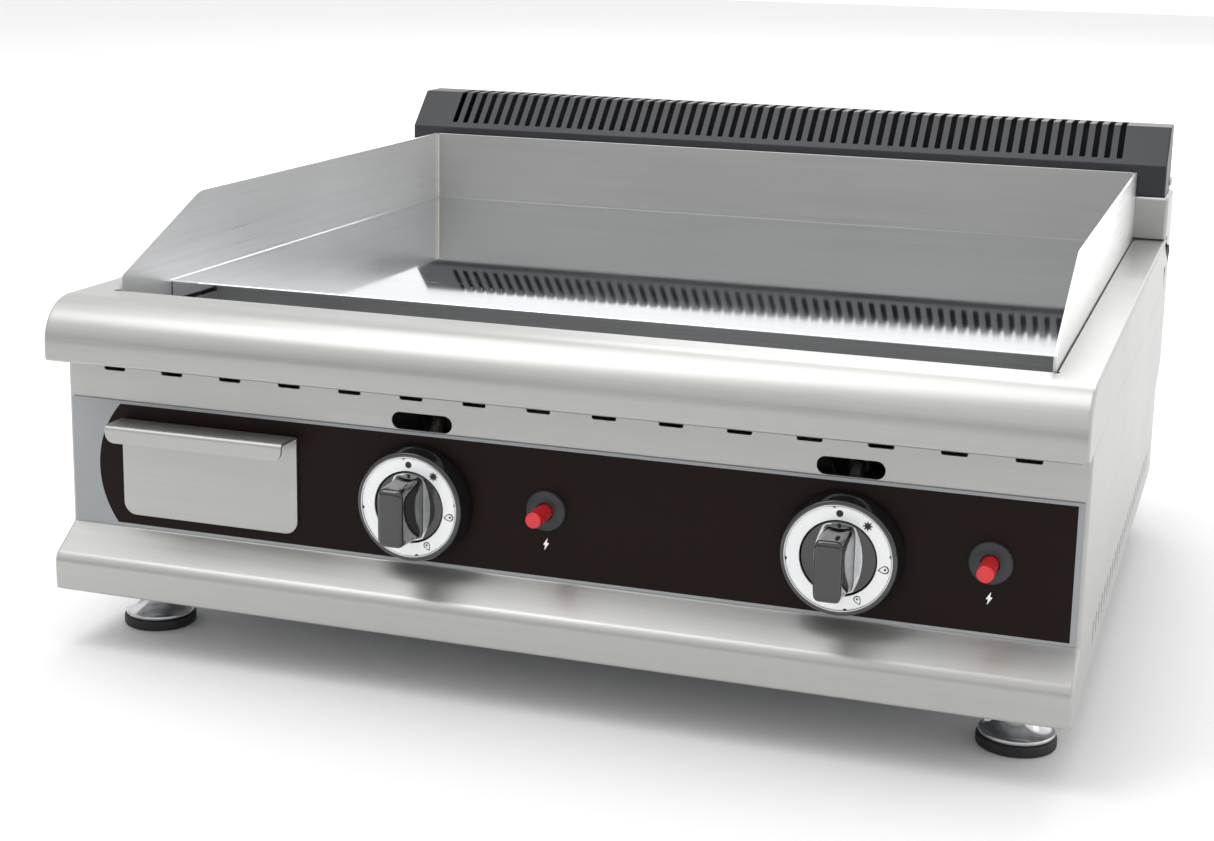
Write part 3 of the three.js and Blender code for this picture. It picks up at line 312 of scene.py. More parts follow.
@dataclass
class FoldedSheet:
    """A flat blank bent along a path in the plane across its width.

    The outer face is the path swept over the width. A point of the blank at distance s along the path goes
    to the path's point there. Where the sheet has cheeks, each end turns through a quarter round, whose
    rows are the path moved inwards by the radius times one minus the cosine and outwards in width by the
    radius times the sine, and then a flat cheek fills the inset path.
    """

    corners: Sequence[tuple[float, float]]
    radii: float | Sequence[float]
    span: tuple[float, float]
    along: Along = Along.X
    steps: int = 6
    end_radius: float = 0.0
    breaks: Sequence[tuple[float, float]] = ()

    def __post_init__(self) -> None:
        """Works out the bent path, its normals and its lengths."""
        line = rounded(self.corners, self.radii, self.steps, closed=False)
        for point in self.breaks:
            s = self.measure(line)
            at = self.nearest(line, s, point)
            extra = np.array([np.interp(at, s, line[:, 0]), np.interp(at, s, line[:, 1])])
            if np.abs(s - at).min() > 1e-4:
                line = np.insert(line, np.searchsorted(s, at), extra, axis=0)
        self.line, self.lengths, self.normals = line, self.measure(line), mitres(line, closed=False)

    @staticmethod
    def measure(line: Array) -> Array:
        """Distance along the line of each of its points."""
        return np.concatenate([[0], np.cumsum(np.linalg.norm(np.diff(line, axis=0), axis=1))])

    @staticmethod
    def nearest(line: Array, lengths: Array, point: Sequence[float]) -> float:
        """Distance along the line of its point nearest to a given one."""
        step = np.diff(line, axis=0)
        size = np.maximum((step**2).sum(1), 1e-12)
        t = np.clip(((np.array(point) - line[:-1]) * step).sum(1) / size, 0, 1)
        gap = np.linalg.norm(line[:-1] + step * t[:, None] - np.array(point), axis=1)
        k = int(gap.argmin())
        return float(lengths[k] + t[k] * (lengths[k + 1] - lengths[k]))

    def at(self, a: float, b: float) -> float:
        """Distance along the path of its point nearest to (a, b)."""
        return self.nearest(self.line, self.lengths, (a, b))

    def blank(self, holes: Sequence[Array] = (), outline: Array | None = None) -> Surface:
        """The bent blank, open where the holes are and cut to the outline where one is given."""
        c0, c1 = self.span[0] + self.end_radius, self.span[1] - self.end_radius
        s = self.lengths
        sides = np.concatenate([
            np.stack([np.full(len(s), c1), s], -1), np.stack([np.full(len(s), c0), s[::-1]], -1),
        ])
        loop = sides if outline is None else outline
        bends = [((c0, v), (c1, v)) for v in s[1:-1]]
        flat, triangles = filled([loop, *holes], bends)
        keep = inside(flat[triangles].mean(1), sides)
        a, b = (np.interp(flat[:, 1], s, self.line[:, k]) for k in (0, 1))
        return Surface().add(self.along.place(a, b, flat[:, 0]), triangles[keep])

    def cheeks(self, first: int, last: int, tail: Sequence, holes: Sequence[Array] = ()) -> Surface:
        """Both rounded ends with their flat cheeks.

        Args:
            first: the first path point that the ends follow.
            last: the last one.
            tail: section points that close the cheek after the last path point.
            holes: loops left open in each cheek.
        Returns:
            The two ends.
        """
        t = np.linspace(0, np.pi / 2, 5)
        line, normal = self.line[first : last + 1], self.normals[first : last + 1]
        inset = line[:, None] - normal[:, None] * (self.end_radius * (1 - np.cos(t)))[None, :, None]
        close = np.array(tail, float).reshape(-1, 2)
        cheek, triangles = filled([np.concatenate([inset[:, -1], close]), *holes])
        surface = Surface()
        for edge, sign in ((self.span[0], -1), (self.span[1], 1)):
            c = edge - sign * self.end_radius * (1 - np.sin(t))
            surface.join(grid(self.along.place(inset[..., 0], inset[..., 1], c[None, :])))
            surface.add(self.along.place(cheek[:, 0], cheek[:, 1], np.full(len(cheek), edge)), triangles)
        return surface


# ---------------------------------------------------------------- shader expressions


class Wire:
    """A node's output socket with arithmetic: an expression on wires adds the Math nodes that work it out."""

    def __init__(self, shader: "Shader", socket: bpy.types.NodeSocket) -> None:
        """Wraps one output socket of a shader's node tree."""
        self.shader, self.socket = shader, socket

    def _math(self, operation: str, *values: "Wire | float") -> "Wire":
        """One Math node."""
        return self.shader.node("ShaderNodeMath", {"operation": operation}, dict(enumerate(values)))

    def __add__(self, other: "Wire | float") -> "Wire":
        """Sum."""
        return self._math("ADD", self, other)

    def __sub__(self, other: "Wire | float") -> "Wire":
        """Difference."""
        return self._math("SUBTRACT", self, other)

    def __mul__(self, other: "Wire | float") -> "Wire":
        """Product."""
        return self._math("MULTIPLY", self, other)

    def __pow__(self, other: float) -> "Wire":
        """Power."""
        return self._math("POWER", self, other)

    def __gt__(self, other: "Wire | float") -> "Wire":
        """1 where the wire is greater, otherwise 0."""
        return self._math("GREATER_THAN", self, other)

    def __lt__(self, other: "Wire | float") -> "Wire":
        """1 where the wire is less, otherwise 0."""
        return self._math("LESS_THAN", self, other)

    def most(self, other: "Wire | float") -> "Wire":
        """The greater of two."""
        return self._math("MAXIMUM", self, other)

    def ramp(self, low: float, high: float, to_low: float = 0.0, to_high: float = 1.0) -> "Wire":
        """Maps low to high onto two new values, without passing them."""
        inputs = {"Value": self, "From Min": low, "From Max": high, "To Min": to_low, "To Max": to_high}
        return self.shader.node("ShaderNodeMapRange", {"clamp": True}, inputs)

    __radd__, __rmul__ = __add__, __mul__


class Shader:
    """A material's node tree, with one method that adds any node."""

    def __init__(self, name: str) -> None:
        """Starts an empty material."""
        self.material = bpy.data.materials.new(name)
        self.material.use_nodes = True
        self.tree = self.material.node_tree
        self.tree.nodes.clear()
        self.place = self.node("ShaderNodeTexCoord", output="Object")

    def node(self, kind: str, settings: dict | None = None, inputs: dict | None = None,
             output: str | int = 0) -> Wire:
        """Adds a node, sets it up and wires it.

        Args:
            kind: the node's type.
            settings: its properties, set before its sockets.
            inputs: socket names or numbers with a value or a wire.
            output: the output socket to hand back.
        Returns:
            That socket as a wire.
        """
        made = self.tree.nodes.new(kind)
        for key, value in (settings or {}).items():
            setattr(made, key, value)
        for key, value in (inputs or {}).items():
            if isinstance(value, Wire):
                self.tree.links.new(value.socket, made.inputs[key])
            else:
                made.inputs[key].default_value = value
        return Wire(self, made.outputs[output])

    def axes(self) -> tuple[Wire, Wire, Wire]:
        """The object coordinates as three wires, in metres."""
        split = self.node("ShaderNodeSeparateXYZ", inputs={0: self.place})
        outputs = split.socket.node.outputs
        return tuple(Wire(self, outputs[k]) for k in range(3))

    def noise(self, scale: Sequence[float], detail: float = 2.0, roughness: float = 0.5,
              move: float = 0.0) -> Wire:
        """Noise from 0 to 1 whose features are one over scale metres long on each axis."""
        stretched = self.node(
            "ShaderNodeVectorMath", {"operation": "MULTIPLY_ADD"},
            {0: self.place, 1: tuple(scale), 2: (move,) * 3},
        )
        return self.node("ShaderNodeTexNoise", {}, {
            "Vector": stretched, "Scale": 1.0, "Detail": detail, "Roughness": roughness,
        })

    def mix(self, amount: Wire | float, first: Wire | Sequence[float],
            second: Wire | Sequence[float]) -> Wire:
        """A blend of two colours."""
        made = self.node("ShaderNodeMix", {"data_type": "RGBA"}).socket.node
        sockets = [s for s in made.inputs if s.enabled]
        for socket, value in zip(sockets, (amount, first, second)):
            if isinstance(value, Wire):
                self.tree.links.new(value.socket, socket)
            else:
                socket.default_value = value if isinstance(value, (int, float)) else (*value, 1.0)
        return Wire(self, next(s for s in made.outputs if s.enabled))

    def tint(self, value: Wire, low: Sequence[float], high: Sequence[float]) -> Wire:
        """A colour between two, by a value from 0 to 1."""
        return self.mix(value, low, high)

    def bump(self, height: Wire, depth_mm: float, strength: float = 1.0) -> Wire:
        """A normal bent by a height of depth_mm times the wire."""
        return self.node("ShaderNodeBump", {},
                         {"Strength": strength, "Distance": depth_mm * MM, "Height": height},
                         output="Normal")

    def surface(self, **inputs: "Wire | float | tuple") -> bpy.types.Material:
        """Closes the tree with one Principled shader and hands back the material."""
        named = {key.replace("_", " ").title().replace("Ior", "IOR"): value for key, value in inputs.items()}
        shader = self.node("ShaderNodeBsdfPrincipled", {}, named, output="BSDF")
        self.node_output(shader)
        return self.material

    def node_output(self, shader: Wire) -> None:
        """Adds the material output."""
        end = self.tree.nodes.new("ShaderNodeOutputMaterial")
        self.tree.links.new(shader.socket, end.inputs["Surface"])


# ---------------------------------------------------------------- finishes


class Grain(Enum):
    """The way a sheet was brushed."""

    ACROSS = (5.0, 1400.0, 1400.0)
    BACKWARD = (1400.0, 5.0, 1400.0)
    UPWARD = (1400.0, 1400.0, 5.0)


def broader(grain: Grain, share: float) -> tuple[float, float, float]:
    """Scales of streaks share times as fine across the grain as the grain itself."""
    return tuple(v if v < 100 else v * share for v in grain.value)


@dataclass(frozen=True)
class BrushedSteel:
    """Satin stainless sheet: fine scratches along the grain, broader streaks, and faint handling marks."""

    name: str
    grain: Grain = Grain.ACROSS
    tone: tuple[float, float, float] = (0.44, 0.437, 0.425)
    roughness: float = 0.34
    bump_mm: float = 0.012

    def make(self) -> bpy.types.Material:
        """Builds the material."""
        s = Shader(self.name)
        fine = s.noise(self.grain.value, 3, 0.65)
        streak = s.noise(broader(self.grain, 0.12), 3, 0.6, 7)
        smudge = s.noise((7, 7, 7), 3, 0.55, 3)
        dark = tuple(0.94 * v for v in self.tone)
        bright = tuple(min(1.0, 1.05 * v) for v in self.tone)
        level = fine * 0.5 + streak * 0.3 + smudge * 0.2
        rough = fine.ramp(0.3, 0.7, -0.045, 0.045) + smudge.ramp(0.35, 0.7, 0.0, 0.05) + self.roughness
        return s.surface(
            base_color=s.tint(level.ramp(0.35, 0.65), dark, bright), metallic=0.8, roughness=rough,
            normal=s.bump(fine * 0.7 + streak * 0.5, self.bump_mm),
        )


@dataclass(frozen=True)
class PolishedPlate:
    """Ground and polished cooking steel: nearly a mirror, with hairline marks and a faint wipe pattern."""

    name: str

    def make(self) -> bpy.types.Material:
        """Builds the material."""
        s = Shader(self.name)
        lines = s.noise((3, 900, 900), 4, 0.7)
        haze = s.noise((5, 9, 5), 4, 0.6, 2)
        scratch = s.noise((60, 700, 700), 2, 0.5, 11).ramp(0.70, 0.74)
        return s.surface(
            base_color=s.tint(lines.ramp(0.3, 0.7), (0.64, 0.665, 0.705), (0.76, 0.785, 0.82)), metallic=1.0,
            roughness=haze.ramp(0.3, 0.75, 0.03, 0.075) + scratch * 0.08,
            normal=s.bump(lines * 0.6 + haze * 0.4, 0.0015),
        )


@dataclass(frozen=True)
class Galvanised:
    """Zinc-coated sheet: large soft crystals that differ in tone and gloss."""

    name: str

    def make(self) -> bpy.types.Material:
        """Builds the material."""
        s = Shader(self.name)
        crystals = s.node("ShaderNodeTexVoronoi", {}, {"Vector": s.place, "Scale": 85.0}, output="Color")
        tone = s.node("ShaderNodeRGBToBW", {}, {0: crystals})
        film = s.noise((30, 30, 30), 3, 0.6)
        return s.surface(
            base_color=s.tint(tone * 0.6 + film * 0.4, (0.36, 0.37, 0.385), (0.56, 0.57, 0.585)),
            metallic=0.9,
            roughness=tone.ramp(0, 1, 0.36, 0.56), normal=s.bump(film, 0.03),
        )


@dataclass(frozen=True)
class PowderCoat:
    """Baked powder paint: fine orange peel, with a soft cloud of slightly lighter tone."""

    name: str
    tone: tuple[float, float, float] = (0.018, 0.0195, 0.023)

    def make(self) -> bpy.types.Material:
        """Builds the material."""
        s = Shader(self.name)
        peel = s.noise((900, 900, 900), 2, 0.5)
        cloud = s.noise((14, 14, 14), 3, 0.6, 5)
        light = tuple(1.35 * v for v in self.tone)
        return s.surface(
            base_color=s.tint(cloud.ramp(0.3, 0.7) * 0.7 + peel * 0.3, self.tone, light), metallic=0.0,
            roughness=cloud.ramp(0.3, 0.7, 0.36, 0.46), normal=s.bump(peel, 0.035), specular_ior_level=0.4,
        )


@dataclass(frozen=True)
class GlossMoulding:
    """Glossy moulded plastic: faint flow lines and fine dust that dulls it here and there."""

    name: str
    tone: tuple[float, float, float] = (0.007, 0.007, 0.008)
    roughness: float = 0.07
    coat: float = 0.9

    def make(self) -> bpy.types.Material:
        """Builds the material."""
        s = Shader(self.name)
        dust = s.noise((1500, 1500, 1500), 2, 0.5).ramp(0.66, 0.76)
        flow = s.noise((45, 45, 45), 3, 0.6, 4)
        lifted = tuple(v * 1.5 + 0.004 for v in self.tone)
        return s.surface(
            base_color=s.tint(flow * 0.6 + dust * 0.3, self.tone, lifted), metallic=0.0,
            roughness=flow.ramp(0.3, 0.7, self.roughness * 0.7, self.roughness * 1.5) + dust * 0.12,
            coat_weight=self.coat, coat_roughness=0.05, normal=s.bump(flow, 0.02),
        )


@dataclass(frozen=True)
class SatinMoulding:
    """Satin plastic or rubber with a spark-eroded grain."""

    name: str
    tone: tuple[float, float, float] = (0.017, 0.019, 0.022)
    roughness: float = 0.45
    grain_scale: float = 1800.0

    def make(self) -> bpy.types.Material:
        """Builds the material."""
        s = Shader(self.name)
        grain = s.noise((self.grain_scale,) * 3, 2, 0.5)
        wear = s.noise((120, 120, 120), 3, 0.6, 9)
        light = tuple(v * 1.7 + 0.006 for v in self.tone)
        return s.surface(
            base_color=s.tint(grain * 0.4 + wear * 0.4, self.tone, light), metallic=0.0,
            roughness=wear.ramp(0.3, 0.7, self.roughness - 0.07, self.roughness + 0.1),
            normal=s.bump(grain, 0.04),
        )


@dataclass(frozen=True)
class BrightMetal:
    """Plated or turned metal: fine turning lines and a little tarnish."""

    name: str
    tone: tuple[float, float, float] = (0.8, 0.81, 0.83)
    roughness: float = 0.09
    tarnish: tuple[float, float, float] = (0.55, 0.56, 0.58)

    def make(self) -> bpy.types.Material:
        """Builds the material."""
        s = Shader(self.name)
        cloud = s.noise((80, 80, 80), 4, 0.6)
        lines = s.noise((300, 300, 2600), 2, 0.5, 6)
        return s.surface(
            base_color=s.tint(cloud.ramp(0.45, 0.85), self.tone, self.tarnish), metallic=1.0,
            roughness=(cloud.ramp(0.3, 0.8, self.roughness, self.roughness + 0.14)
                       + lines.ramp(0.3, 0.7, 0.0, 0.04)),
            normal=s.bump(lines, 0.006),
        )


@dataclass(frozen=True)
class HeatTinted:
    """Burner steel: oxide colours, soot and a dry scaled surface."""

    name: str

    def make(self) -> bpy.types.Material:
        """Builds the material."""
        s = Shader(self.name)
        bands = s.noise((9, 9, 9), 3, 0.6)
        scale = s.noise((420, 420, 420), 4, 0.7, 8)
        oxide = s.mix(bands.ramp(0.35, 0.6), (0.2, 0.15, 0.11), (0.16, 0.17, 0.2))
        return s.surface(
            base_color=s.mix(scale.ramp(0.45, 0.8), oxide, (0.05, 0.045, 0.042)), metallic=0.8,
            roughness=scale.ramp(0.3, 0.7, 0.42, 0.68), normal=s.bump(scale, 0.06),
        )


@dataclass(frozen=True)
class PrintedStrip:
    """Control strip film: dark field, grey border and a grey end behind an arc, under a satin film.

    The arc is a circle through three points, and the field is where the distance from its centre is less
    than its radius, inside the border.
    """

    name: str
    bottom: float
    top: float
    right: float
    border: float = 1.9
    side_border: float = 3.0
    arc: tuple[tuple[float, float], ...] = ((-263.4, 150.0), (-279.6, 112.5), (-267.6, 75.0))

    def circle(self) -> tuple[float, float, float]:
        """Centre and radius of the arc."""
        p = np.array(self.arc)
        system = np.column_stack([2 * p, np.ones(3)])
        x, z, k = np.linalg.solve(system, (p**2).sum(1))
        return float(x), float(z), float(math.sqrt(k + x * x + z * z))

    def make(self) -> bpy.types.Material:
        """Builds the material."""
        s = Shader(self.name)
        x, _, z = s.axes()
        cx, cz, radius = (v * MM for v in self.circle())
        reach = ((x - cx) ** 2.0 + (z - cz) ** 2.0) ** 0.5
        left_ok = (reach < radius).most(x > cx)
        low, high, right = ((self.bottom + self.border) * MM, (self.top - self.border) * MM,
                            (self.right - self.side_border) * MM)
        field_mask = left_ok * (z > low) * (z < high) * (x < right)
        film = s.noise((900, 900, 900), 2, 0.5)
        cloud = s.noise((12, 12, 12), 3, 0.6, 3)
        grey = s.tint(cloud, (0.31, 0.325, 0.34), (0.37, 0.38, 0.395))
        dark = s.tint(cloud, (0.009, 0.0042, 0.0036), (0.013, 0.0066, 0.0057))
        return s.surface(
            base_color=s.mix(field_mask, grey, dark), metallic=0.0,
            roughness=cloud.ramp(0.3, 0.7, 0.34, 0.44), normal=s.bump(film, 0.008), specular_ior_level=0.1,
        )


@dataclass(frozen=True)
class DialPlate:
    """Dial ring: bright satin metal print, with a fine grain."""

    name: str

    def make(self) -> bpy.types.Material:
        """Builds the material."""
        s = Shader(self.name)
        grain = s.noise((700, 5, 700), 3, 0.6)
        cloud = s.noise((60, 60, 60), 3, 0.6, 2)
        return s.surface(
            base_color=s.tint(grain * 0.3 + cloud * 0.7, (0.86, 0.87, 0.88), (0.95, 0.96, 0.97)),
            metallic=0.2,
            roughness=grain.ramp(0.3, 0.7, 0.2, 0.28), normal=s.bump(cloud, 0.01),
        )


# ---------------------------------------------------------------- workshop


class Workshop:
    """Turns surfaces into pieces: meshes in the frame, dressed, beveled and riding on their bodies."""

    def __init__(self, strip: PrintedStrip) -> None:
        """Makes every finish once."""
        finishes = [
            BrushedSteel("steel_across"), BrushedSteel("steel_backward", Grain.BACKWARD),
            BrushedSteel("steel_upward", Grain.UPWARD),
            # the side guards' stainless is the same sheet painted about twice as bright as the rest: a
            # painted highlight for the light they catch
            BrushedSteel("guard_steel_painted_bright", Grain.BACKWARD, (0.86, 0.86, 0.855), 0.3, 0.006),
            PolishedPlate("polished_plate"), Galvanised("galvanised"), PowderCoat("anthracite"), strip,
            GlossMoulding("gloss_black"), DialPlate("dial"),
            GlossMoulding("red", (0.56, 0.012, 0.016), 0.24, 0.25), SatinMoulding("black_plastic"),
            BrightMetal("brass", (0.66, 0.46, 0.17), 0.24, (0.42, 0.29, 0.11)),
            BrightMetal("steel", (0.52, 0.52, 0.53), 0.3, (0.33, 0.32, 0.31)), HeatTinted("burner_steel"),
            BrightMetal("chrome", (0.62, 0.63, 0.64), 0.1, (0.42, 0.42, 0.43)),
            SatinMoulding("rubber", (0.009, 0.009, 0.009), 0.62, 900.0),
            GlossMoulding("ceramic", (0.78, 0.74, 0.66), 0.2, 0.4),
            SatinMoulding("print_black", (0.006, 0.006, 0.006), 0.4),
            SatinMoulding("print_white", (0.72, 0.72, 0.73), 0.4),
            BrushedSteel("edge_polish", Grain.BACKWARD, (0.86, 0.80, 0.72), 0.16, 0.003),
        ]
        self.finishes = {finish.name: finish.make() for finish in finishes}
        self.count = 0

    def piece(self, name: str, surface: Surface, finish: str, body: str, slot: str,
              replaces: Sequence[str] = (),
              wall: float = 0.0, bevel: float = 0.0, core: Sequence[float] | None = None) -> bpy.types.Object:
        """Makes one finished piece.

        Args:
            name: the piece's name.
            surface: its points and faces in millimetres.
            finish: the finish's name.
            body: the body it rides on.
            slot: the record's material slot; not used.
            replaces: the frame's nodes that it stands for.
            wall: thickness of a sheet, set inwards from its outer face.
            bevel: width of the broken edges.
            core: for a sheet, a point behind its outer face, which sets which way is outwards.
        Returns:
            The object.
        """
        mesh = bpy.data.meshes.new(name)
        points = (surface.points + np.array([0.0, FRONT_Y, 0.0])) * MM
        mesh.from_pydata(points.tolist(), [], [f for block in surface.faces for f in block.tolist()])
        self.clean(mesh, core)
        obj = bpy.data.objects.new(name, mesh)
        bpy.context.scene.collection.objects.link(obj)
        if wall:
            solid = obj.modifiers.new("wall", "SOLIDIFY")
            solid.thickness, solid.offset, solid.use_even_offset = wall * MM, -1.0, True
        if bevel:
            edge = obj.modifiers.new("edges", "BEVEL")
            edge.width, edge.segments, edge.limit_method = bevel * MM, 2, "ANGLE"
            edge.angle_limit, edge.use_clamp_overlap, edge.harden_normals = CREASE, True, True
        weighted = obj.modifiers.new("flat_faces", "WEIGHTED_NORMAL")
        weighted.keep_sharp = True
        mesh.materials.append(self.finishes[finish])
        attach(obj, body)
        if replaces:
            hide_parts(*replaces)
        self.count += 1
        log.info("%s: %d points on %s", name, len(mesh.vertices), body)
        return obj

    @staticmethod
    def clean(mesh: bpy.types.Mesh, core: Sequence[float] | None) -> None:
        """Merges doubled points, turns every face outwards and shades smoothly between creases."""
        work = bmesh.new()
        work.from_mesh(mesh)
        bmesh.ops.remove_doubles(work, verts=work.verts, dist=2e-6)
        bmesh.ops.dissolve_degenerate(work, dist=1e-6, edges=work.edges)
        bmesh.ops.recalc_face_normals(work, faces=work.faces)
        if core is not None:
            inner = (Vector(core) + Vector((0, FRONT_Y, 0))) * MM
            lean = sum(f.normal.dot(f.calc_center_median() - inner) * f.calc_area() for f in work.faces)
            if lean < 0:
                bmesh.ops.reverse_faces(work, faces=work.faces)
        work.to_mesh(mesh)
        work.free()
        mesh.polygons.foreach_set("use_smooth", np.ones(len(mesh.polygons), bool))
        mesh.set_sharp_from_angle(angle=CREASE)

    def dress(self, nodes: Iterable[str], finish: str) -> None:
        """Gives frame nodes whose shape is right a better material."""
        for node in nodes:
            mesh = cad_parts[node].data
            mesh.materials.clear()
            mesh.materials.append(self.finishes[finish])


# ---------------------------------------------------------------- sub-assemblies


@dataclass
class Cabinet:
    """Deck with its rolled edge, folded front, control strip, sides, pan and rear sheet."""

    shop: Workshop
    half: float = 300.0
    depth: float = 540.0
    floor: float = 36.0
    deck_top: float = 213.0
    lip_bottom: float = 177.0
    lip_radius: float = 26.0
    sheet: float = 1.5
    opening_front: float = 44.0
    opening_rear: float = 522.0
    opening_half: float = 277.5
    panel_face: float = 25.0
    slope_top: float = 73.0
    skirt_top: float = 57.0
    skirt_face: float = 3.0
    panel_top: float = 196.7
    seat: float = 176.7
    cheek_rear: float = 53.7
    strip_bottom: float = 73.6
    strip_top: float = 151.0
    strip_half: float = 297.5
    drawer_x: float = -205.0
    knobs: tuple[float, float] = (-72.0, 174.0)
    knob_z: float = 110.5
    igniter_shift: float = 78.0
    igniter_z: float = 114.0
    vents: SlotRow = SlotRow(15, 38.3, 14.0, -7 * 38.3)
    slits: SlotRow = SlotRow(24, 17.0, 4.0, 101.0)
    windows: SlotRow = SlotRow(4, 138.0, 110.0, -1.5 * 138)

    def build(self) -> None:
        """Builds every piece of the cabinet."""
        self.deck()
        self.front()
        self.strip()
        self.sides()
        self.rear()
        self.shop.dress(["base_pan"], "galvanised")

    def deck(self) -> None:
        """Pressed deck: hem, lip, quarter roll, flat top with an opening, rear flange, welded ends."""
        top, low = self.deck_top, self.lip_bottom
        sheet = FoldedSheet(
            [(12, low), (0, low), (0, top), (self.depth, top), (self.depth, low)],
            [0, 1.5, self.lip_radius, 2, 0],
            (-self.half, self.half), steps=16, end_radius=2.2,
        )
        first = int(np.argmax(sheet.line[:, 0] < 1e-6))
        s0, s1 = sheet.at(self.opening_front, top), sheet.at(self.opening_rear, top)
        hole = box_loop((-self.opening_half, self.opening_half), (s0, s1), 2.5)
        reliefs = [ring_loop((x * (self.opening_half - 0.6), s0 + 0.8), 2.0, 20) for x in (-1, 1)]
        ends = 3.0
        hems = [box_loop(sorted((x * (self.half - ends), x * (self.half + 5))),
                         (-5, sheet.lengths[first] - 0.4))
                for x in (-1, 1)]
        skin = sheet.blank([hole, *reliefs, *hems])
        tail = [(self.depth - 2.2, low), (2.2, low)]
        skin.join(sheet.cheeks(first, len(sheet.line) - 1, tail))
        self.shop.piece("deck_sheet", skin, "steel_across", "cabinet", "stainless", ["top_deck"],
                        wall=self.sheet,
                        bevel=0.35, core=(0, self.depth / 2, 120))

    def front_holes(self, sheet: FoldedSheet, margin: float = 0.0) -> list[Array]:
        """Loops of the drawer slot, valve holes and igniter holes, at distances along a sheet's path."""
        level = lambda z: sheet.at(self.panel_face, z)
        high, low = sorted((level(87.0 - 1.5 - margin), level(128.0 + 1.5 + margin)))
        slot = box_loop((self.drawer_x - 53.5 - margin, self.drawer_x + 53.5 + margin), (high, low), 2)
        valves = [ring_loop((x, level(self.knob_z)), 10 + margin, 40) for x in self.knobs]
        sparks = [ring_loop((x + self.igniter_shift, level(self.igniter_z)), 9 + margin, 40)
                  for x in self.knobs]
        return [slot, *valves, *sparks]

    def front(self) -> None:
        """Fascia in one folded sheet: pierced face, slope, skirt, flange and side cheeks."""
        face, slope = self.panel_face, self.slope_top
        sheet = FoldedSheet(
            [(27, self.floor), (self.skirt_face, self.floor), (self.skirt_face, self.skirt_top),
             (face, slope),
             (face, self.panel_top)], [0, 2, 9.0, 2.4, 0], (-self.half, self.half), steps=8, end_radius=2.0,
            breaks=[(face, self.seat)],
        )
        first = int(np.argmax(sheet.line[:, 0] < self.skirt_face + 1e-6))
        last = int(np.abs(sheet.line[:, 1] - self.seat).argmin())
        vent_z = self.lip_bottom - 5.4
        s = lambda z: sheet.at(face, z)
        vents = slot_row(self.vents, (s(vent_z - 3), s(vent_z + 3)), 1.2)
        lighting = [box_loop((x + 2 - 18.5, x + 2 + 18.5), (s(151.5), s(161.5)), 4.99, 8) for x in self.knobs]
        hem_end = sheet.lengths[first] - 0.4
        spans = [sorted((x * (self.half - 3.0), x * (self.half + 5))) for x in (-1, 1)]
        shoulders = [box_loop(span, (s(self.seat), s(self.panel_top) + 5)) for span in spans]
        hems = [box_loop(span, (-5, hem_end)) for span in spans]
        skin = sheet.blank([*vents, *lighting, *shoulders, *hems, *self.front_holes(sheet)])
        tail = [(self.cheek_rear, self.seat), (self.cheek_rear, self.floor),
                (self.skirt_face + 2, self.floor)]
        skin.join(sheet.cheeks(first, last, tail))
        self.shop.piece("fascia_sheet", skin, "steel_across", "cabinet", "stainless", ["front_panel"],
                        wall=self.sheet, bevel=0.3, core=(0, 60, 110))

    def strip(self) -> None:
        """Printed film stuck to the fascia, cut out like it."""
        sheet = FoldedSheet([(self.panel_face, 0), (self.panel_face, 200)], 0, (-300, 300))
        holes = [loop[::-1] for loop in self.front_holes(sheet, 0.1)]
        outline = box_loop((-self.strip_half, self.strip_half), (self.strip_bottom, self.strip_top), 0.8)
        surface = slab([outline, *holes], self.panel_face - 1.1, self.panel_face - 0.3, 0.25, Along.Y)
        self.shop.piece("control_strip", surface, "control_strip", "cabinet", "overlay", ["control_overlay"])

    def sides(self) -> None:
        """Side sheets with returned edges and a row of upright air slits."""
        for name, side in (("left", -1), ("right", 1)):
            inner, outer = self.half - 12, self.half
            sheet = FoldedSheet(
                [(inner, self.seat), (outer, self.seat), (outer, self.floor), (inner, self.floor)],
                [0, 1.2, 1.2, 0], (54.0, 538.2), Along.Y, steps=5,
            )
            s0, s1 = sorted((sheet.at(outer, 50), sheet.at(outer, 63)))
            skin = sheet.blank(slot_row(self.slits, (s0, s1), 1.9))
            if side < 0:
                skin = skin.mirrored()
            self.shop.piece(f"side_sheet_{name}", skin, "steel_backward", "cabinet", "stainless",
                            [f"side_panel_{name}"], wall=self.sheet, bevel=0.3, core=(side * 200, 300, 106))

    def rear(self) -> None:
        """Rear sheet with its flue windows and inlet hole, held by a row of screws."""
        windows = [loop[::-1] for loop in slot_row(self.windows, (134, 164), 3)]
        inlet = ring_loop((272, 72), 11.2, 48)[::-1]
        outline = box_loop((-self.half, self.half), (self.floor, self.seat), 1.0)
        surface = slab([outline, *windows, inlet], self.depth - self.sheet, self.depth, 0.3, Along.Y)
        self.shop.piece("rear_sheet", surface, "galvanised", "cabinet", "galvanised", ["rear_panel"])
        heads = Surface().join(*(screw_head((x, self.depth, z), Along.Y) for x in (-280, -140, 0, 140, 236)
                                 for z in (46, 82)))
        self.shop.piece("rear_screws", heads, "steel", "cabinet", "steel")


def screw_head(place: Sequence[float], along: Along, out: float = 1.0) -> Surface:
    """A raised screw head: a flat dome turned round its axis, with a round recess in its middle."""
    radius = np.array([0, 0.6, 1.2, 1.21, 2.2, 3.0, 3.5, 3.6, 3.6])
    height = np.array([0.5, 0.5, 0.5, 1.95, 1.85, 1.6, 1.1, 0.5, 0.0])
    return turned(np.stack([radius, out * height], -1), place, along, 20)


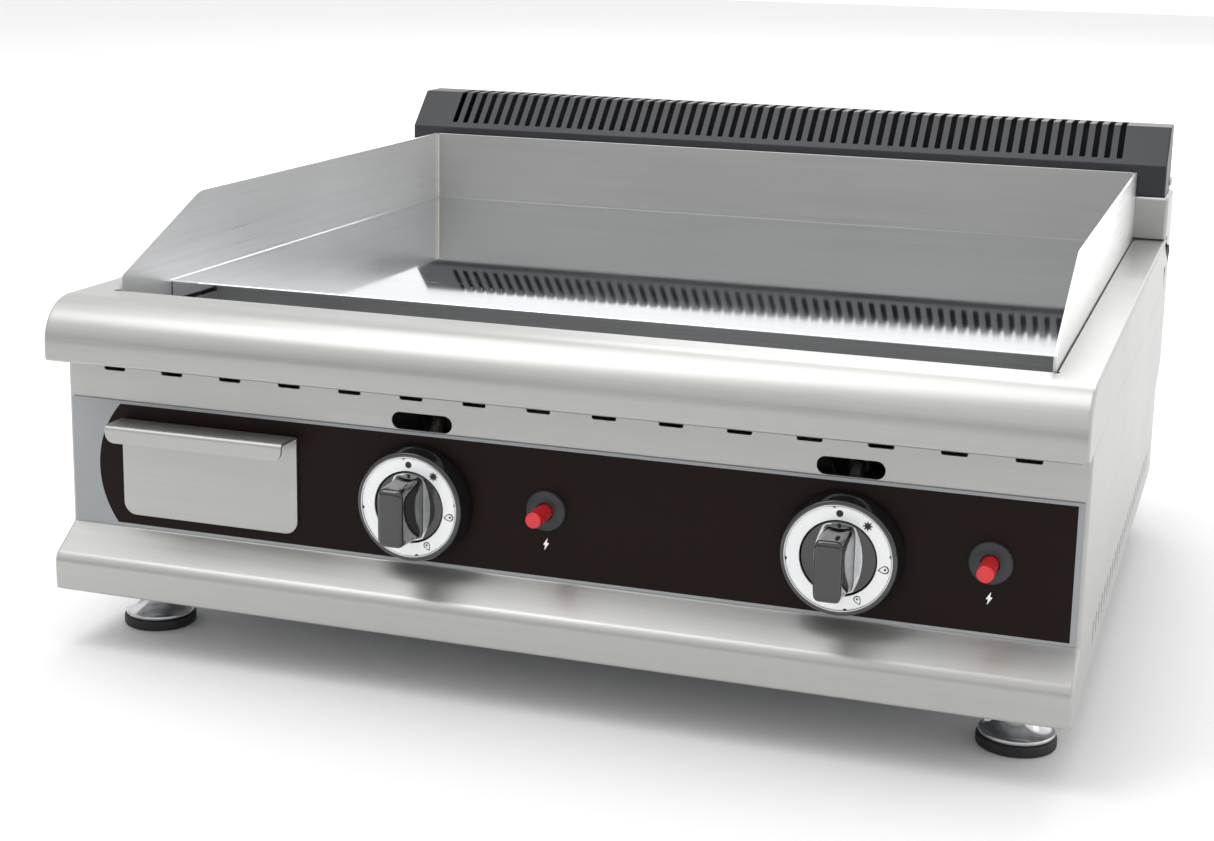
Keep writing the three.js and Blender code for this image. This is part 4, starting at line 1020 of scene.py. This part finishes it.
@dataclass
class Cooktop:
    """Thick plate, splash guards with their polished edges, gutter and drain."""

    shop: Workshop
    half: float = 274.2
    front: float = 102.0
    rear: float = 519.9
    top: float = 210.0
    thickness: float = 15.0
    guard_inner: float = 274.5
    guard_outer: float = 276.5
    guard_front: float = 46.0
    guard_rear: float = 521.7
    guard_low: float = 197.0
    guard_step: float = 222.0
    guard_top: float = 262.0
    guard_run: float = 94.0
    rear_top: float = 262.0

    def build(self) -> None:
        """Builds the cooking surface."""
        outline = box_loop((-self.half, self.half), (self.front, self.rear), 1.5)
        plate = slab([outline], self.top - self.thickness, self.top, 1.1, Along.Z, 4)
        self.shop.piece("cooking_plate", plate, "polished_plate", "cabinet", "polished", ["griddle_plate"])
        self.guards()
        rear = slab([box_loop((-self.half, self.half), (195, self.rear_top), 0.8)], 520.2, 521.7, 0.45,
                    Along.Y)
        self.shop.piece("guard_rear", rear, "steel_across", "cabinet", "stainless", ["splash_guard_rear"])
        self.gutter()
        seams = Surface()
        for side in (-1, 1):
            z = np.linspace(self.top + 0.4, self.rear_top - 0.5, 60)
            bead = np.stack([0 * z + side * (self.half - 0.4), 0 * z + 519.9, z], -1)
            seams.join(piped(bead, 0.85 + 0.12 * np.sin(z * 2.6), 8))
        self.shop.piece("guard_seams", seams, "edge_polish", "cabinet", "stainless")
        self.shop.dress(["burner_tray"], "galvanised")

    def guards(self) -> None:
        """Side guards: a flat sheet whose front slopes down to the worktop, with a rounded upper corner."""
        outline = rounded(
            [(self.guard_front, self.guard_low), (self.guard_rear, self.guard_low),
             (self.guard_rear, self.guard_top),
             (self.guard_front + self.guard_run, self.guard_top), (self.guard_front, self.guard_step)],
            [2, 1, 1.5, 26, 3], 10,
        )
        for name, side in (("left", -1), ("right", 1)):
            x0, x1 = sorted((side * self.guard_inner, side * self.guard_outer))
            surface = slab([outline], x0, x1, 0.55, Along.X, 3)
            # the guards wear the brightened copy of the stainless, painted light and not a different metal
            self.shop.piece(f"guard_{name}", surface, "guard_steel_painted_bright", "cabinet", "stainless",
                            [f"splash_guard_{name}"])

    def gutter(self) -> None:
        """Gutter folded from one sheet, its drain hole, and the spout below."""
        wall, low, high, front, rear = 1.5, 172.2, 211.2, 46.5, 114.0
        sheet = FoldedSheet([(rear - wall, 194.7), (rear - wall, low + wall), (front + wall, low + wall),
                             (front + wall, high)], [0, 3, 3, 0], (-self.half + wall, self.half - wall),
                             steps=6)
        drain = ring_loop((-205, sheet.at(80, low + wall)), 16.5, 48)
        skin = sheet.blank([drain])
        ends, triangles = filled([np.concatenate([sheet.line, [(front + wall, 194.7)]])])
        for side in (-1, 1):
            skin.add(Along.X.place(ends[:, 0], ends[:, 1], np.full(len(ends), side * (self.half - wall))),
                     triangles)
        # the sheet's inner face is drawn, so its wall grows away from the gutter's inside
        self.shop.piece("gutter", skin, "steel_across", "cabinet", "stainless", ["grease_trough"], wall=wall,
                        bevel=0.3, core=(0, 80, 900))
        profile = [(16.5, 171.9), (26, 171.9), (26, 170.4), (18, 170.4), (18, 131.4), (17.7, 130.9),
                   (16.8, 130.9),
                   (16.5, 131.4), (16.5, 171.9)]
        spout = turned(np.array(profile), (-205, 80, 0), Along.Z, 64)
        self.shop.piece("spout", spout, "steel_upward", "cabinet", "stainless", ["drain_spout"])


@dataclass
class GreaseDrawer:
    """Drawer face with its folded handle, and the tray behind it."""

    shop: Workshop
    centre: float = -205.0
    width: float = 115.0
    top: float = 141.0
    bottom: float = 82.0
    back: float = 23.6
    handle_front: float = 3.1
    handle_low: float = 130.5
    sheet: float = 1.5

    def build(self) -> None:
        """Builds the drawer."""
        span = (self.centre - self.width / 2, self.centre + self.width / 2)
        sheet = FoldedSheet(
            [(self.handle_front, self.handle_low), (self.handle_front, self.top), (self.back, self.top),
             (self.back, self.bottom)], [0, 3.0, 2.4, 0], span, steps=8,
        )
        end = float(sheet.lengths[-1])
        outline = rounded([(span[0], 0), (span[1], 0), (span[1], end), (span[0], end)], [6, 6, 8, 8], 8)
        self.shop.piece("drawer_face", sheet.blank(outline=outline), "steel_across", "grease_drawer",
                        "stainless",
                        ["grease_drawer_front"], wall=self.sheet, bevel=0.3, core=(self.centre, 16, 110))
        self.tray()
        self.shop.dress(["drawer_runner_left", "drawer_runner_right"], "galvanised")

    def tray(self) -> None:
        """Open tray drawn by its outer face: four walls with rounded uprights, and a floor."""
        loop = box_loop((self.centre - 52, self.centre + 52), (23.9, 329.9), 6, 6)
        levels = np.array([128.0, 110.0, 92.0, 89.2, 87.6, 87.0])
        inset = np.array([0, 0, 0, 0.5, 1.8, 4.0])
        rows = loop[None] + mitres(loop)[None] * inset[:, None, None]
        skin = grid(Along.Z.place(rows[..., 0], rows[..., 1], levels[:, None]), wrap_columns=True)
        points, triangles = filled([rows[-1]])
        skin.add(Along.Z.place(points[:, 0], points[:, 1], np.full(len(points), 87.0)), triangles)
        self.shop.piece("drawer_tray", skin, "steel_backward", "grease_drawer", "stainless",
                        ["grease_drawer_tray"], wall=1.2, bevel=0.25, core=(self.centre, 170, 115))


@dataclass
class ControlStation:
    """One gas control: bezel, dial, knob and spindle, with the spark button beside it."""

    shop: Workshop
    side: str
    x: float
    face: float = 23.9
    z: float = 110.5
    igniter_x: float = 78.0
    igniter_rise: float = 3.5

    def build(self) -> None:
        """Builds the station."""
        self.bezel()
        self.dial()
        self.knob()
        self.igniter()
        self.shop.dress([f"valve_body_{self.side}", f"valve_plug_{self.side}"], "brass")
        # the injector pipes wear the dark burner finish partly as heat tint and partly as painted shade, so
        # the cabinet's inside reads darker
        self.shop.dress([f"injector_pipe_{self.side}"], "burner_steel")
        self.shop.dress([f"igniter_nut_{self.side}"], "black_plastic")

    def at(self, forward: float = 0.0) -> tuple[float, float, float]:
        """The point on the knob's axis that is this far in front of the strip."""
        return self.x, self.face - forward, self.z

    def lathe(self, profile: Sequence, steps: int = 96) -> Surface:
        """A closed profile of radius and distance forward, turned on the knob's axis."""
        p = np.array(profile, float) * np.array([1, -1])
        return turned(p, self.at(), Along.Y, steps)

    def bezel(self) -> None:
        """Glossy cup: the wall is a rounded section, stepped inside for the dial."""
        section = rounded([(10, 0.3), (33.5, 0.3), (33.4, 5.5), (31.4, 13), (28.9, 13), (28.9, 11.2),
                           (21.1, 11.2),
                           (21.1, 2.7), (10, 2.7)], [0.3, 1.0, 6, 1.7, 0.5, 0.1, 0.6, 0.6, 0.3], 8)
        surface = self.lathe(np.vstack([section, section[:1]]))
        self.shop.piece(f"bezel_{self.side}", surface, "gloss_black", "cabinet", "gloss_black",
                        [f"knob_bezel_{self.side}"])
        rim = rounded([(28.35, 12.3), (29.3, 12.3), (29.3, 13.35), (28.35, 13.35)], 0.35, 5)
        self.shop.piece(f"bezel_rim_{self.side}", self.lathe(np.vstack([rim, rim[:1]])), "chrome", "cabinet",
                        "chrome")

    def dial(self) -> None:
        """Ring with four notches in its outer edge, and the printed marks a hair above it."""
        t = np.linspace(0, 2 * np.pi, 240, endpoint=False)
        notch = sum(np.exp(-((np.angle(np.exp(1j * (t - np.radians(a))))) / 0.028) ** 2)
                    for a in (96, 8, 280, 186))
        radius = 28.55 - 1.3 * notch
        outer = np.stack([self.x + radius * np.cos(t), self.z + radius * np.sin(t)], -1)
        inner = ring_loop((self.x, self.z), 20.9, 120)[::-1]
        front = self.face - 12.7
        ring = slab([outer, inner], front, front + 1.2, 0.25, Along.Y)
        self.shop.piece(f"dial_{self.side}", ring, "dial", "cabinet", "dial", [f"dial_ring_{self.side}"])
        marks = Surface()
        for loops in self.marks():
            marks.join(slab(loops, front - 0.12, front + 0.1, 0.04, Along.Y, 1))
        self.shop.piece(f"dial_marks_{self.side}", marks, "print_black", "cabinet", "dial")

    def marks(self) -> list[list[Array]]:
        """Off dot at the top, spark star, large flame and small flame, going round clockwise."""
        t = np.linspace(0, 2 * np.pi, 48, endpoint=False)
        spot = lambda degrees, r=24.6: (self.x + r * math.sin(math.radians(degrees)),
                                        self.z + r * math.cos(math.radians(degrees)))
        dot = ring_loop(spot(0), 1.9, 32)
        spikes = 1.5 + 1.3 * np.abs(np.cos(4 * t)) ** 3
        star = np.array(spot(38)) + spikes[:, None] * np.stack([np.cos(t), np.sin(t)], -1)
        found = [[dot], [star]]
        for degrees, size, lean in ((98, 3.0, -80), (152, 2.6, 30)):
            drop = np.stack([0.95 * size * np.sin(t) * np.sin(t / 2), -size * np.cos(t)], -1)[1:]
            c, k = math.cos(math.radians(lean)), math.sin(math.radians(lean))
            drop = drop @ np.array([[c, k], [-k, c]]) + np.array(spot(degrees))
            area = np.cross(drop, np.roll(drop, -1, 0)).sum()
            drop = drop if area > 0 else drop[::-1]
            found.append([drop, (drop + 0.24 * (drop.mean(0) - drop))[::-1]])
            found.append([ring_loop(drop.mean(0) * 0.72 + drop[len(drop) // 2] * 0.28, 0.22 * size, 20)])
        return found

    def knob(self) -> None:
        """Disc, index band and bar grip, which move together, and the spindle behind them."""
        disc = rounded([(0, 5.5), (7, 5.5), (7, 8.5), (20.4, 8.5), (20.4, 12), (16, 12.25), (0, 12.4)],
                       [0, 0.4, 0.3, 0.5, 0.9, 3, 0], 6)
        body = self.lathe(disc)
        body.join(self.grip())
        name = f"knob_{self.side}"
        self.shop.piece(f"knob_body_{self.side}", body, "gloss_black", name, "gloss_black", [name])
        radius, half, bulge = 19.6, 8.6, 4.4
        a = np.linspace(math.acos(half / radius), math.pi - math.acos(half / radius), 24)
        arc = radius * np.stack([np.cos(a), np.sin(a)], -1)
        z = np.linspace(arc[0, 1], -arc[0, 1], 40)[1:-1]
        side = np.stack([-half - bulge * (1 - (z / arc[0, 1]) ** 2), z], -1)
        band = np.concatenate([arc, side, -arc, -side]) + np.array([self.x, self.z])
        y = self.face - 12.4
        self.shop.piece(f"knob_band_{self.side}", slab([band], y - 0.12, y + 0.4, 0.1, Along.Y, 2),
                        "chrome", name,
                        "chrome")
        dot = slab([ring_loop((self.x, self.z + 17.9), 1.25, 28)], y - 0.24, y, 0.05, Along.Y, 1)
        self.shop.piece(f"knob_dot_{self.side}", dot, "print_black", name, "gloss_black")
        rod = rounded([(0, 9.4), (3.75, 9.4), (3.75, -21), (0, -21)], [0, 0.4, 0.4, 0], 4, closed=False)
        self.shop.piece(f"spindle_{self.side}", self.lathe(rod, 40), "steel", name, "steel",
                        [f"valve_spindle_{self.side}"])

    def grip(self) -> Surface:
        """Bar grip: superellipse sections that taper forwards, round over at the front and close in a flat
        dome.

        A section is half width times the signed power of the cosine, and half height times that of the
        sine; it shrinks with the reach, then by one minus the cosine over the rounded front edge, then to
        its middle.
        """
        t = np.linspace(0, 2 * np.pi, 96, endpoint=False)
        power = lambda v: np.sign(v) * np.abs(v) ** 0.3
        reach, edge = 26.9, 2.6
        bend = np.linspace(0, np.pi / 2, 9)
        depth = np.concatenate([[-0.6, 0.0, 0.5], np.linspace(2, reach - edge, 5),
                                reach - edge * (1 - np.sin(bend[1:])),
                                [reach + 0.0] * 3])
        skirt = 1.2 * np.exp(-np.maximum(depth, 0) / 1.1)
        shrink = np.concatenate([np.zeros(8), edge * (1 - np.cos(bend[1:])), [4.0, 6.4, 7.35]])
        taper = 0.055 * np.clip(depth, 0, None) / reach
        half_w = (8.25 * (1 - taper * 1.6) - shrink * 1.0 + skirt).clip(0.0)
        half_h = (17.5 * (1 - taper) - shrink * 1.15 + skirt).clip(0.0)
        half_w[-1], half_h[-1] = 0.0, 0.0
        a = self.x + half_w[:, None] * power(np.cos(t))
        b = self.z + half_h[:, None] * power(np.sin(t))
        return grid(Along.Y.place(a, b, (self.face - 12.0 - depth)[:, None] + 0 * t), wrap_columns=True)

    def igniter(self) -> None:
        """Collar and barrel in one moulding, the red button, and a plain spark printed under it."""
        x, z = self.x + self.igniter_x, self.z + self.igniter_rise
        collar = rounded([(4.9, 3.6), (8.2, 3.6), (11.4, 2.2), (12, 0.3), (8.6, 0.3), (8.6, -38), (0, -38),
                          (0, -28.4),
                          (4.9, -28.4)], [0.5, 2.0, 1.6, 0.2, 0.3, 0.8, 0, 0, 0.3], 6)
        body = turned(np.vstack([collar, collar[:1]]) * np.array([1, -1]), (x, self.face, z), Along.Y, 72)
        self.shop.piece(f"spark_body_{self.side}", body, "black_plastic", "cabinet", "black_plastic",
                        [f"igniter_body_{self.side}"])
        button = rounded([(0, -20.4), (4.6, -20.4), (4.6, 21.6), (3.0, 21.4), (0, 21.2)],
                         [0, 0.3, 0.9, 1.2, 0], 6)
        ribs = turned(button * np.array([1, -1]), (x, self.face, z), Along.Y, 64)
        self.shop.piece(f"spark_button_{self.side}", ribs, "red", f"igniter_button_{self.side}", "red",
                        [f"igniter_button_{self.side}"])
        flash = np.array([(-1.7, -0.5), (1.1, 3.8), (0.6, 0.8), (1.9, 0.6), (-1.0, -3.8), (-0.4, -0.6)])
        flash = flash if np.cross(flash[0], flash[1]) > 0 else flash[::-1]
        spark = slab([rounded(flash + np.array([x, z - 19.5]), 0.12, 3)], self.face - 0.12, self.face + 0.1,
                     0.03,
                     Along.Y, 1)
        self.shop.piece(f"spark_mark_{self.side}", spark, "print_white", "cabinet", "overlay")


@dataclass
class ScrewFoot:
    """One foot: plated bell and stud on a rubber pad."""

    shop: Workshop
    name: str
    x: float
    y: float

    def build(self) -> None:
        """Builds the foot: the bell's flare is a curve that eases from the rim into the neck."""
        t = np.linspace(0, 1, 18)[:, None]
        flare = ((1 - t) ** 2 * np.array([20.6, 8.9]) + 2 * t * (1 - t) * np.array([9.8, 11.0])
                 + t**2 * np.array([9.5, 29]))
        head = [(0, 6.8), (19.9, 6.8), (20.8, 7.0), (21, 7.7), (20.95, 8.4)]
        neck = [(9.5, 30.2), (9.9, 30.6), (10.4, 30.9), (10.4, 32.2), (9.9, 32.6), (9.5, 33.0), (9.5, 37.2),
                (9.2, 37.5), (4.8, 37.5), (4.8, 49.6), (4.4, 50), (0, 50)]
        profile = np.vstack([head, flare, neck])
        bell = turned(profile, (self.x, self.y, 0), Along.Z, 72)
        self.shop.piece(f"{self.name}_flare", bell, "chrome", self.name, "chrome", [f"{self.name}_bell"])
        pad = rounded([(0, 0), (22, 0), (22, 6.5), (0, 6.5)], [0, 1.4, 1.6, 0], 6, closed=False)
        ridge = turned(pad, (self.x, self.y, 0), Along.Z, 72)
        self.shop.piece(f"{self.name}_sole", ridge, "rubber", self.name, "rubber", [f"{self.name}_pad"])


@dataclass
class GasTrain:
    """Rail, supply pipe, threaded inlet, burners and pilots."""

    shop: Workshop
    inlet_x: float = 272.0
    inlet_z: float = 72.0

    def build(self) -> None:
        """Dresses the inner pieces, and builds the threaded inlet that shows at the rear."""
        self.shop.dress(["gas_rail", "supply_pipe"], "steel")
        for side in ("left", "right"):
            self.shop.dress([f"burner_{side}"], "burner_steel")
            self.shop.dress([f"pilot_burner_{side}", f"thermocouple_{side}"], "steel")
            self.shop.dress([f"spark_electrode_{side}"], "ceramic")
        self.inlet()

    def inlet(self) -> None:
        """Nipple: the thread's radius is a triangle wave of the distance less a pitch for each turn."""
        t = np.linspace(0, 2 * np.pi, 64, endpoint=False)
        y = np.linspace(541.5, 563.4, 76)
        wave = np.abs(((y[:, None] - 1.81 * t / (2 * np.pi)) / 1.81) % 1 - 0.5) * 2
        ease = np.clip(np.minimum((563.4 - y) / 1.6, (y - 541.5) / 1.6), 0, 1)[:, None]
        radius = 9.3 + 1.1 * (1 - ease * wave)
        radius[0], radius[-1] = 10.4, 9.2
        thread = np.stack([self.inlet_x + radius * np.cos(t), y[:, None] + 0 * t,
                           self.inlet_z + radius * np.sin(t)], -1)
        ring = lambda r, at: np.stack([self.inlet_x + r * np.cos(t), at + 0 * t,
                                       self.inlet_z + r * np.sin(t)], -1)[None]
        rows = [ring(7, 531.5), ring(10.4, 531.5), ring(10.4, 540), thread, ring(8.6, 564), ring(7.3, 564),
                ring(7, 563.5), ring(7, 531.5)]
        nipple = grid(np.concatenate([row if row.ndim == 3 else row[None] for row in rows]),
                      wrap_columns=True)
        six = ring_loop((self.inlet_x, self.inlet_z), 30 / math.sqrt(3), 6)
        hexagon = slab([rounded(six, 1.5, 4), ring_loop((self.inlet_x, self.inlet_z), 10.3, 48)[::-1]],
                       531.2, 538.2,
                       0.6, Along.Y)
        self.shop.piece("inlet_nipple", nipple.join(hexagon), "brass", "cabinet", "brass", ["gas_inlet"])


@dataclass
class Flue:
    """Duct behind the cabinet and its slotted cap."""

    shop: Workshop
    half: float = 300.0
    front: float = 522.0
    rear: float = 577.0
    shelf: float = 213.3
    top: float = 245.0
    riser: float = 540.3
    low_front: float = 96.0
    low_rear: float = 112.0
    cap_half: float = 297.0
    cap_low: float = 245.3
    band_top: float = 267.3
    cap_top: float = 293.3
    slots: int = 60
    pitch: float = 8.9
    slot_width: float = 4.3

    def build(self) -> None:
        """Builds the flue."""
        self.duct()
        self.cap()

    def duct(self) -> None:
        """Duct in one folded sheet with rounded ends, open towards the cabinet and under the cap."""
        sheet = FoldedSheet(
            [(self.riser, self.shelf), (self.front, self.shelf), (self.front, self.top),
             (self.rear, self.top),
             (self.rear, self.low_rear), (self.riser, self.low_front)], [0, 2.6, 3.2, 3.2, 2.8, 0],
            (-self.half, self.half), steps=6, end_radius=2.4,
        )
        s0, s1 = sheet.at(self.front + 8, self.top), sheet.at(self.rear - 8, self.top)
        mouth = box_loop((8 - self.half, self.half - 8), (s0, s1), 2)
        skin = sheet.blank([mouth]).join(sheet.cheeks(0, len(sheet.line) - 1, []))
        self.shop.piece("flue_sheet", skin, "steel_across", "cabinet", "stainless", ["flue_duct"], wall=1.5,
                        bevel=0.3, core=(0, 558, 190))

    def cap(self) -> None:
        """Cap in one folded sheet, slotted from its slope round the fold into its top, with closed ends."""
        y0, y1 = self.front + 1, self.rear - 1
        slope_end = y0 + self.cap_top - self.band_top
        sheet = FoldedSheet(
            [(y0, self.cap_low), (y0, self.band_top), (slope_end, self.cap_top), (y1, self.cap_top),
             (y1, self.cap_low)], [0, 2.0, 3.0, 2.0, 0], (-self.cap_half, self.cap_half), steps=6,
             end_radius=1.4,
        )
        s0 = sheet.at(y0, self.band_top) + 5
        s1 = sheet.at(y1 - 6, self.cap_top)
        slots = SlotRow(self.slots, self.pitch, self.slot_width, -self.pitch * (self.slots - 1) / 2)
        holes = slot_row(slots, (s0, s1), 1.0, 3)
        skin = sheet.blank(holes).join(sheet.cheeks(0, len(sheet.line) - 1, []))
        self.shop.piece("flue_hood", skin, "anthracite", "cabinet", "anthracite", ["flue_cap"], wall=1.5,
                        bevel=0.3, core=(0, 555, 262))
        heads = Surface().join(*(screw_head((side * self.cap_half, 566, 252), Along.X, side)
                                 for side in (-1, 1)))
        self.shop.piece("hood_screws", heads, "steel", "cabinet", "steel")


# ---------------------------------------------------------------- studio


@dataclass
class Studio:
    """Pale floor, soft lights and the camera."""

    lens: float = 60.349
    place: tuple[float, float, float] = (382.0, -1278.0, 441.1)
    turn: tuple[float, float, float] = (77.937, -1.086, 18.769)
    shift: float = -0.0622
    front: float = 0.3
    back: float = 1.3
    top: float = 1.05
    slant: float = 34.0

    def build(self) -> None:
        """Builds the studio."""
        scene = bpy.context.scene
        scene.view_settings.view_transform = "Standard"
        data = bpy.data.cameras.new("camera")
        data.sensor_width, data.lens, data.shift_y = 36.0, self.lens, self.shift
        camera = bpy.data.objects.new("camera", data)
        camera.location = Vector(self.place) * MM
        camera.rotation_euler = Euler([math.radians(v) for v in self.turn], "XYZ")
        scene.collection.objects.link(camera)
        scene.camera = camera
        self.floor()
        self.sky()
        self.light("overhead", (-0.2, -0.1, 1.7), (0, 0, 0), 1.2, 9)
        self.light("front_top", (-0.9, -0.9, 1.9), (-0.1, 0.1, 0.2), 1.0, 8)
        self.light("backdrop", (0.0, 3.4, 2.2), (0, 3.0, 0), 2.4, 60)
        self.light("right", (2.3, 0.5, 1.0), (0, 0, 0.15), 1.2, 3)

    def floor(self) -> None:
        """Large pale floor with a faint mottle."""
        size = 9.0
        corners = np.array([(-1, -1, 0), (1, -1, 0), (1, 1, 0), (-1, 1, 0)]) * size
        mesh = bpy.data.meshes.new("floor")
        mesh.from_pydata(corners.tolist(), [], [(0, 1, 2, 3)])
        obj = bpy.data.objects.new("floor", mesh)
        bpy.context.scene.collection.objects.link(obj)
        s = Shader("floor_paper")
        cloud = s.noise((3, 3, 3), 3, 0.6)
        mesh.materials.append(s.surface(base_color=s.tint(cloud, (0.82, 0.82, 0.82), (0.85, 0.85, 0.85)),
                                        roughness=cloud.ramp(0, 1, 0.75, 0.9)))

    def sky(self) -> None:
        """Surround that is bright behind the object and overhead, and dim behind the camera."""
        world = bpy.data.worlds.new("surround")
        bpy.context.scene.world = world
        world.use_nodes = True
        tree = world.node_tree
        tree.nodes.clear()
        place = tree.nodes.new("ShaderNodeTexCoord")
        slant = tree.nodes.new("ShaderNodeVectorRotate")
        slant.rotation_type = "Z_AXIS"
        slant.inputs["Angle"].default_value = math.radians(self.slant)
        split = tree.nodes.new("ShaderNodeSeparateXYZ")
        back = tree.nodes.new("ShaderNodeBackground")
        end = tree.nodes.new("ShaderNodeOutputWorld")
        tree.links.new(place.outputs["Generated"], slant.inputs["Vector"])
        tree.links.new(slant.outputs["Vector"], split.inputs[0])
        reach = tree.nodes.new("ShaderNodeMapRange")
        reach.interpolation_type = "SMOOTHSTEP"
        rise = tree.nodes.new("ShaderNodeMapRange")
        for node, axis, low, high in ((reach, "Y", -0.7, 0.75), (rise, "Z", 0.03, 0.4)):
            tree.links.new(split.outputs[axis], node.inputs["Value"])
            node.inputs["From Min"].default_value, node.inputs["From Max"].default_value = low, high
        reach.inputs["To Min"].default_value, reach.inputs["To Max"].default_value = self.front, self.back
        rise.inputs["To Max"].default_value = self.top
        tree.links.new(reach.outputs[0], rise.inputs["To Min"])
        tree.links.new(rise.outputs[0], back.inputs["Strength"])
        back.inputs["Color"].default_value = (1, 1, 1, 1)
        tree.links.new(back.outputs[0], end.inputs["Surface"])

    @staticmethod
    def light(name: str, place: Sequence[float], aim: Sequence[float], size: float, power: float) -> None:
        """Square soft light aimed at a point."""
        data = bpy.data.lights.new(name, "AREA")
        data.shape, data.size, data.energy = "SQUARE", size, power
        obj = bpy.data.objects.new(name, data)
        obj.location = place
        obj.rotation_euler = (Vector(place) - Vector(aim)).to_track_quat("Z", "Y").to_euler()
        bpy.context.scene.collection.objects.link(obj)


def main() -> None:
    """Builds the studio and every sub-assembly in order."""
    logging.basicConfig(level=logging.INFO, format="%(name)s %(message)s")
    Studio().build()
    strip = PrintedStrip("control_strip", Cabinet.strip_bottom, Cabinet.strip_top, Cabinet.strip_half)
    shop = Workshop(strip)
    Cabinet(shop).build()
    Cooktop(shop).build()
    GreaseDrawer(shop).build()
    for side, x in zip(("left", "right"), Cabinet.knobs):
        ControlStation(shop, side, x).build()
    for row, y in zip(("front", "rear"), FOOT_ROWS):
        for side, x in (("left", -FOOT_SPREAD), ("right", FOOT_SPREAD)):
            ScrewFoot(shop, f"foot_{row}_{side}", x, y).build()
    GasTrain(shop).build()
    Flue(shop).build()
    log.info("%d pieces", shop.count)


if __name__ == "__main__":
    main()
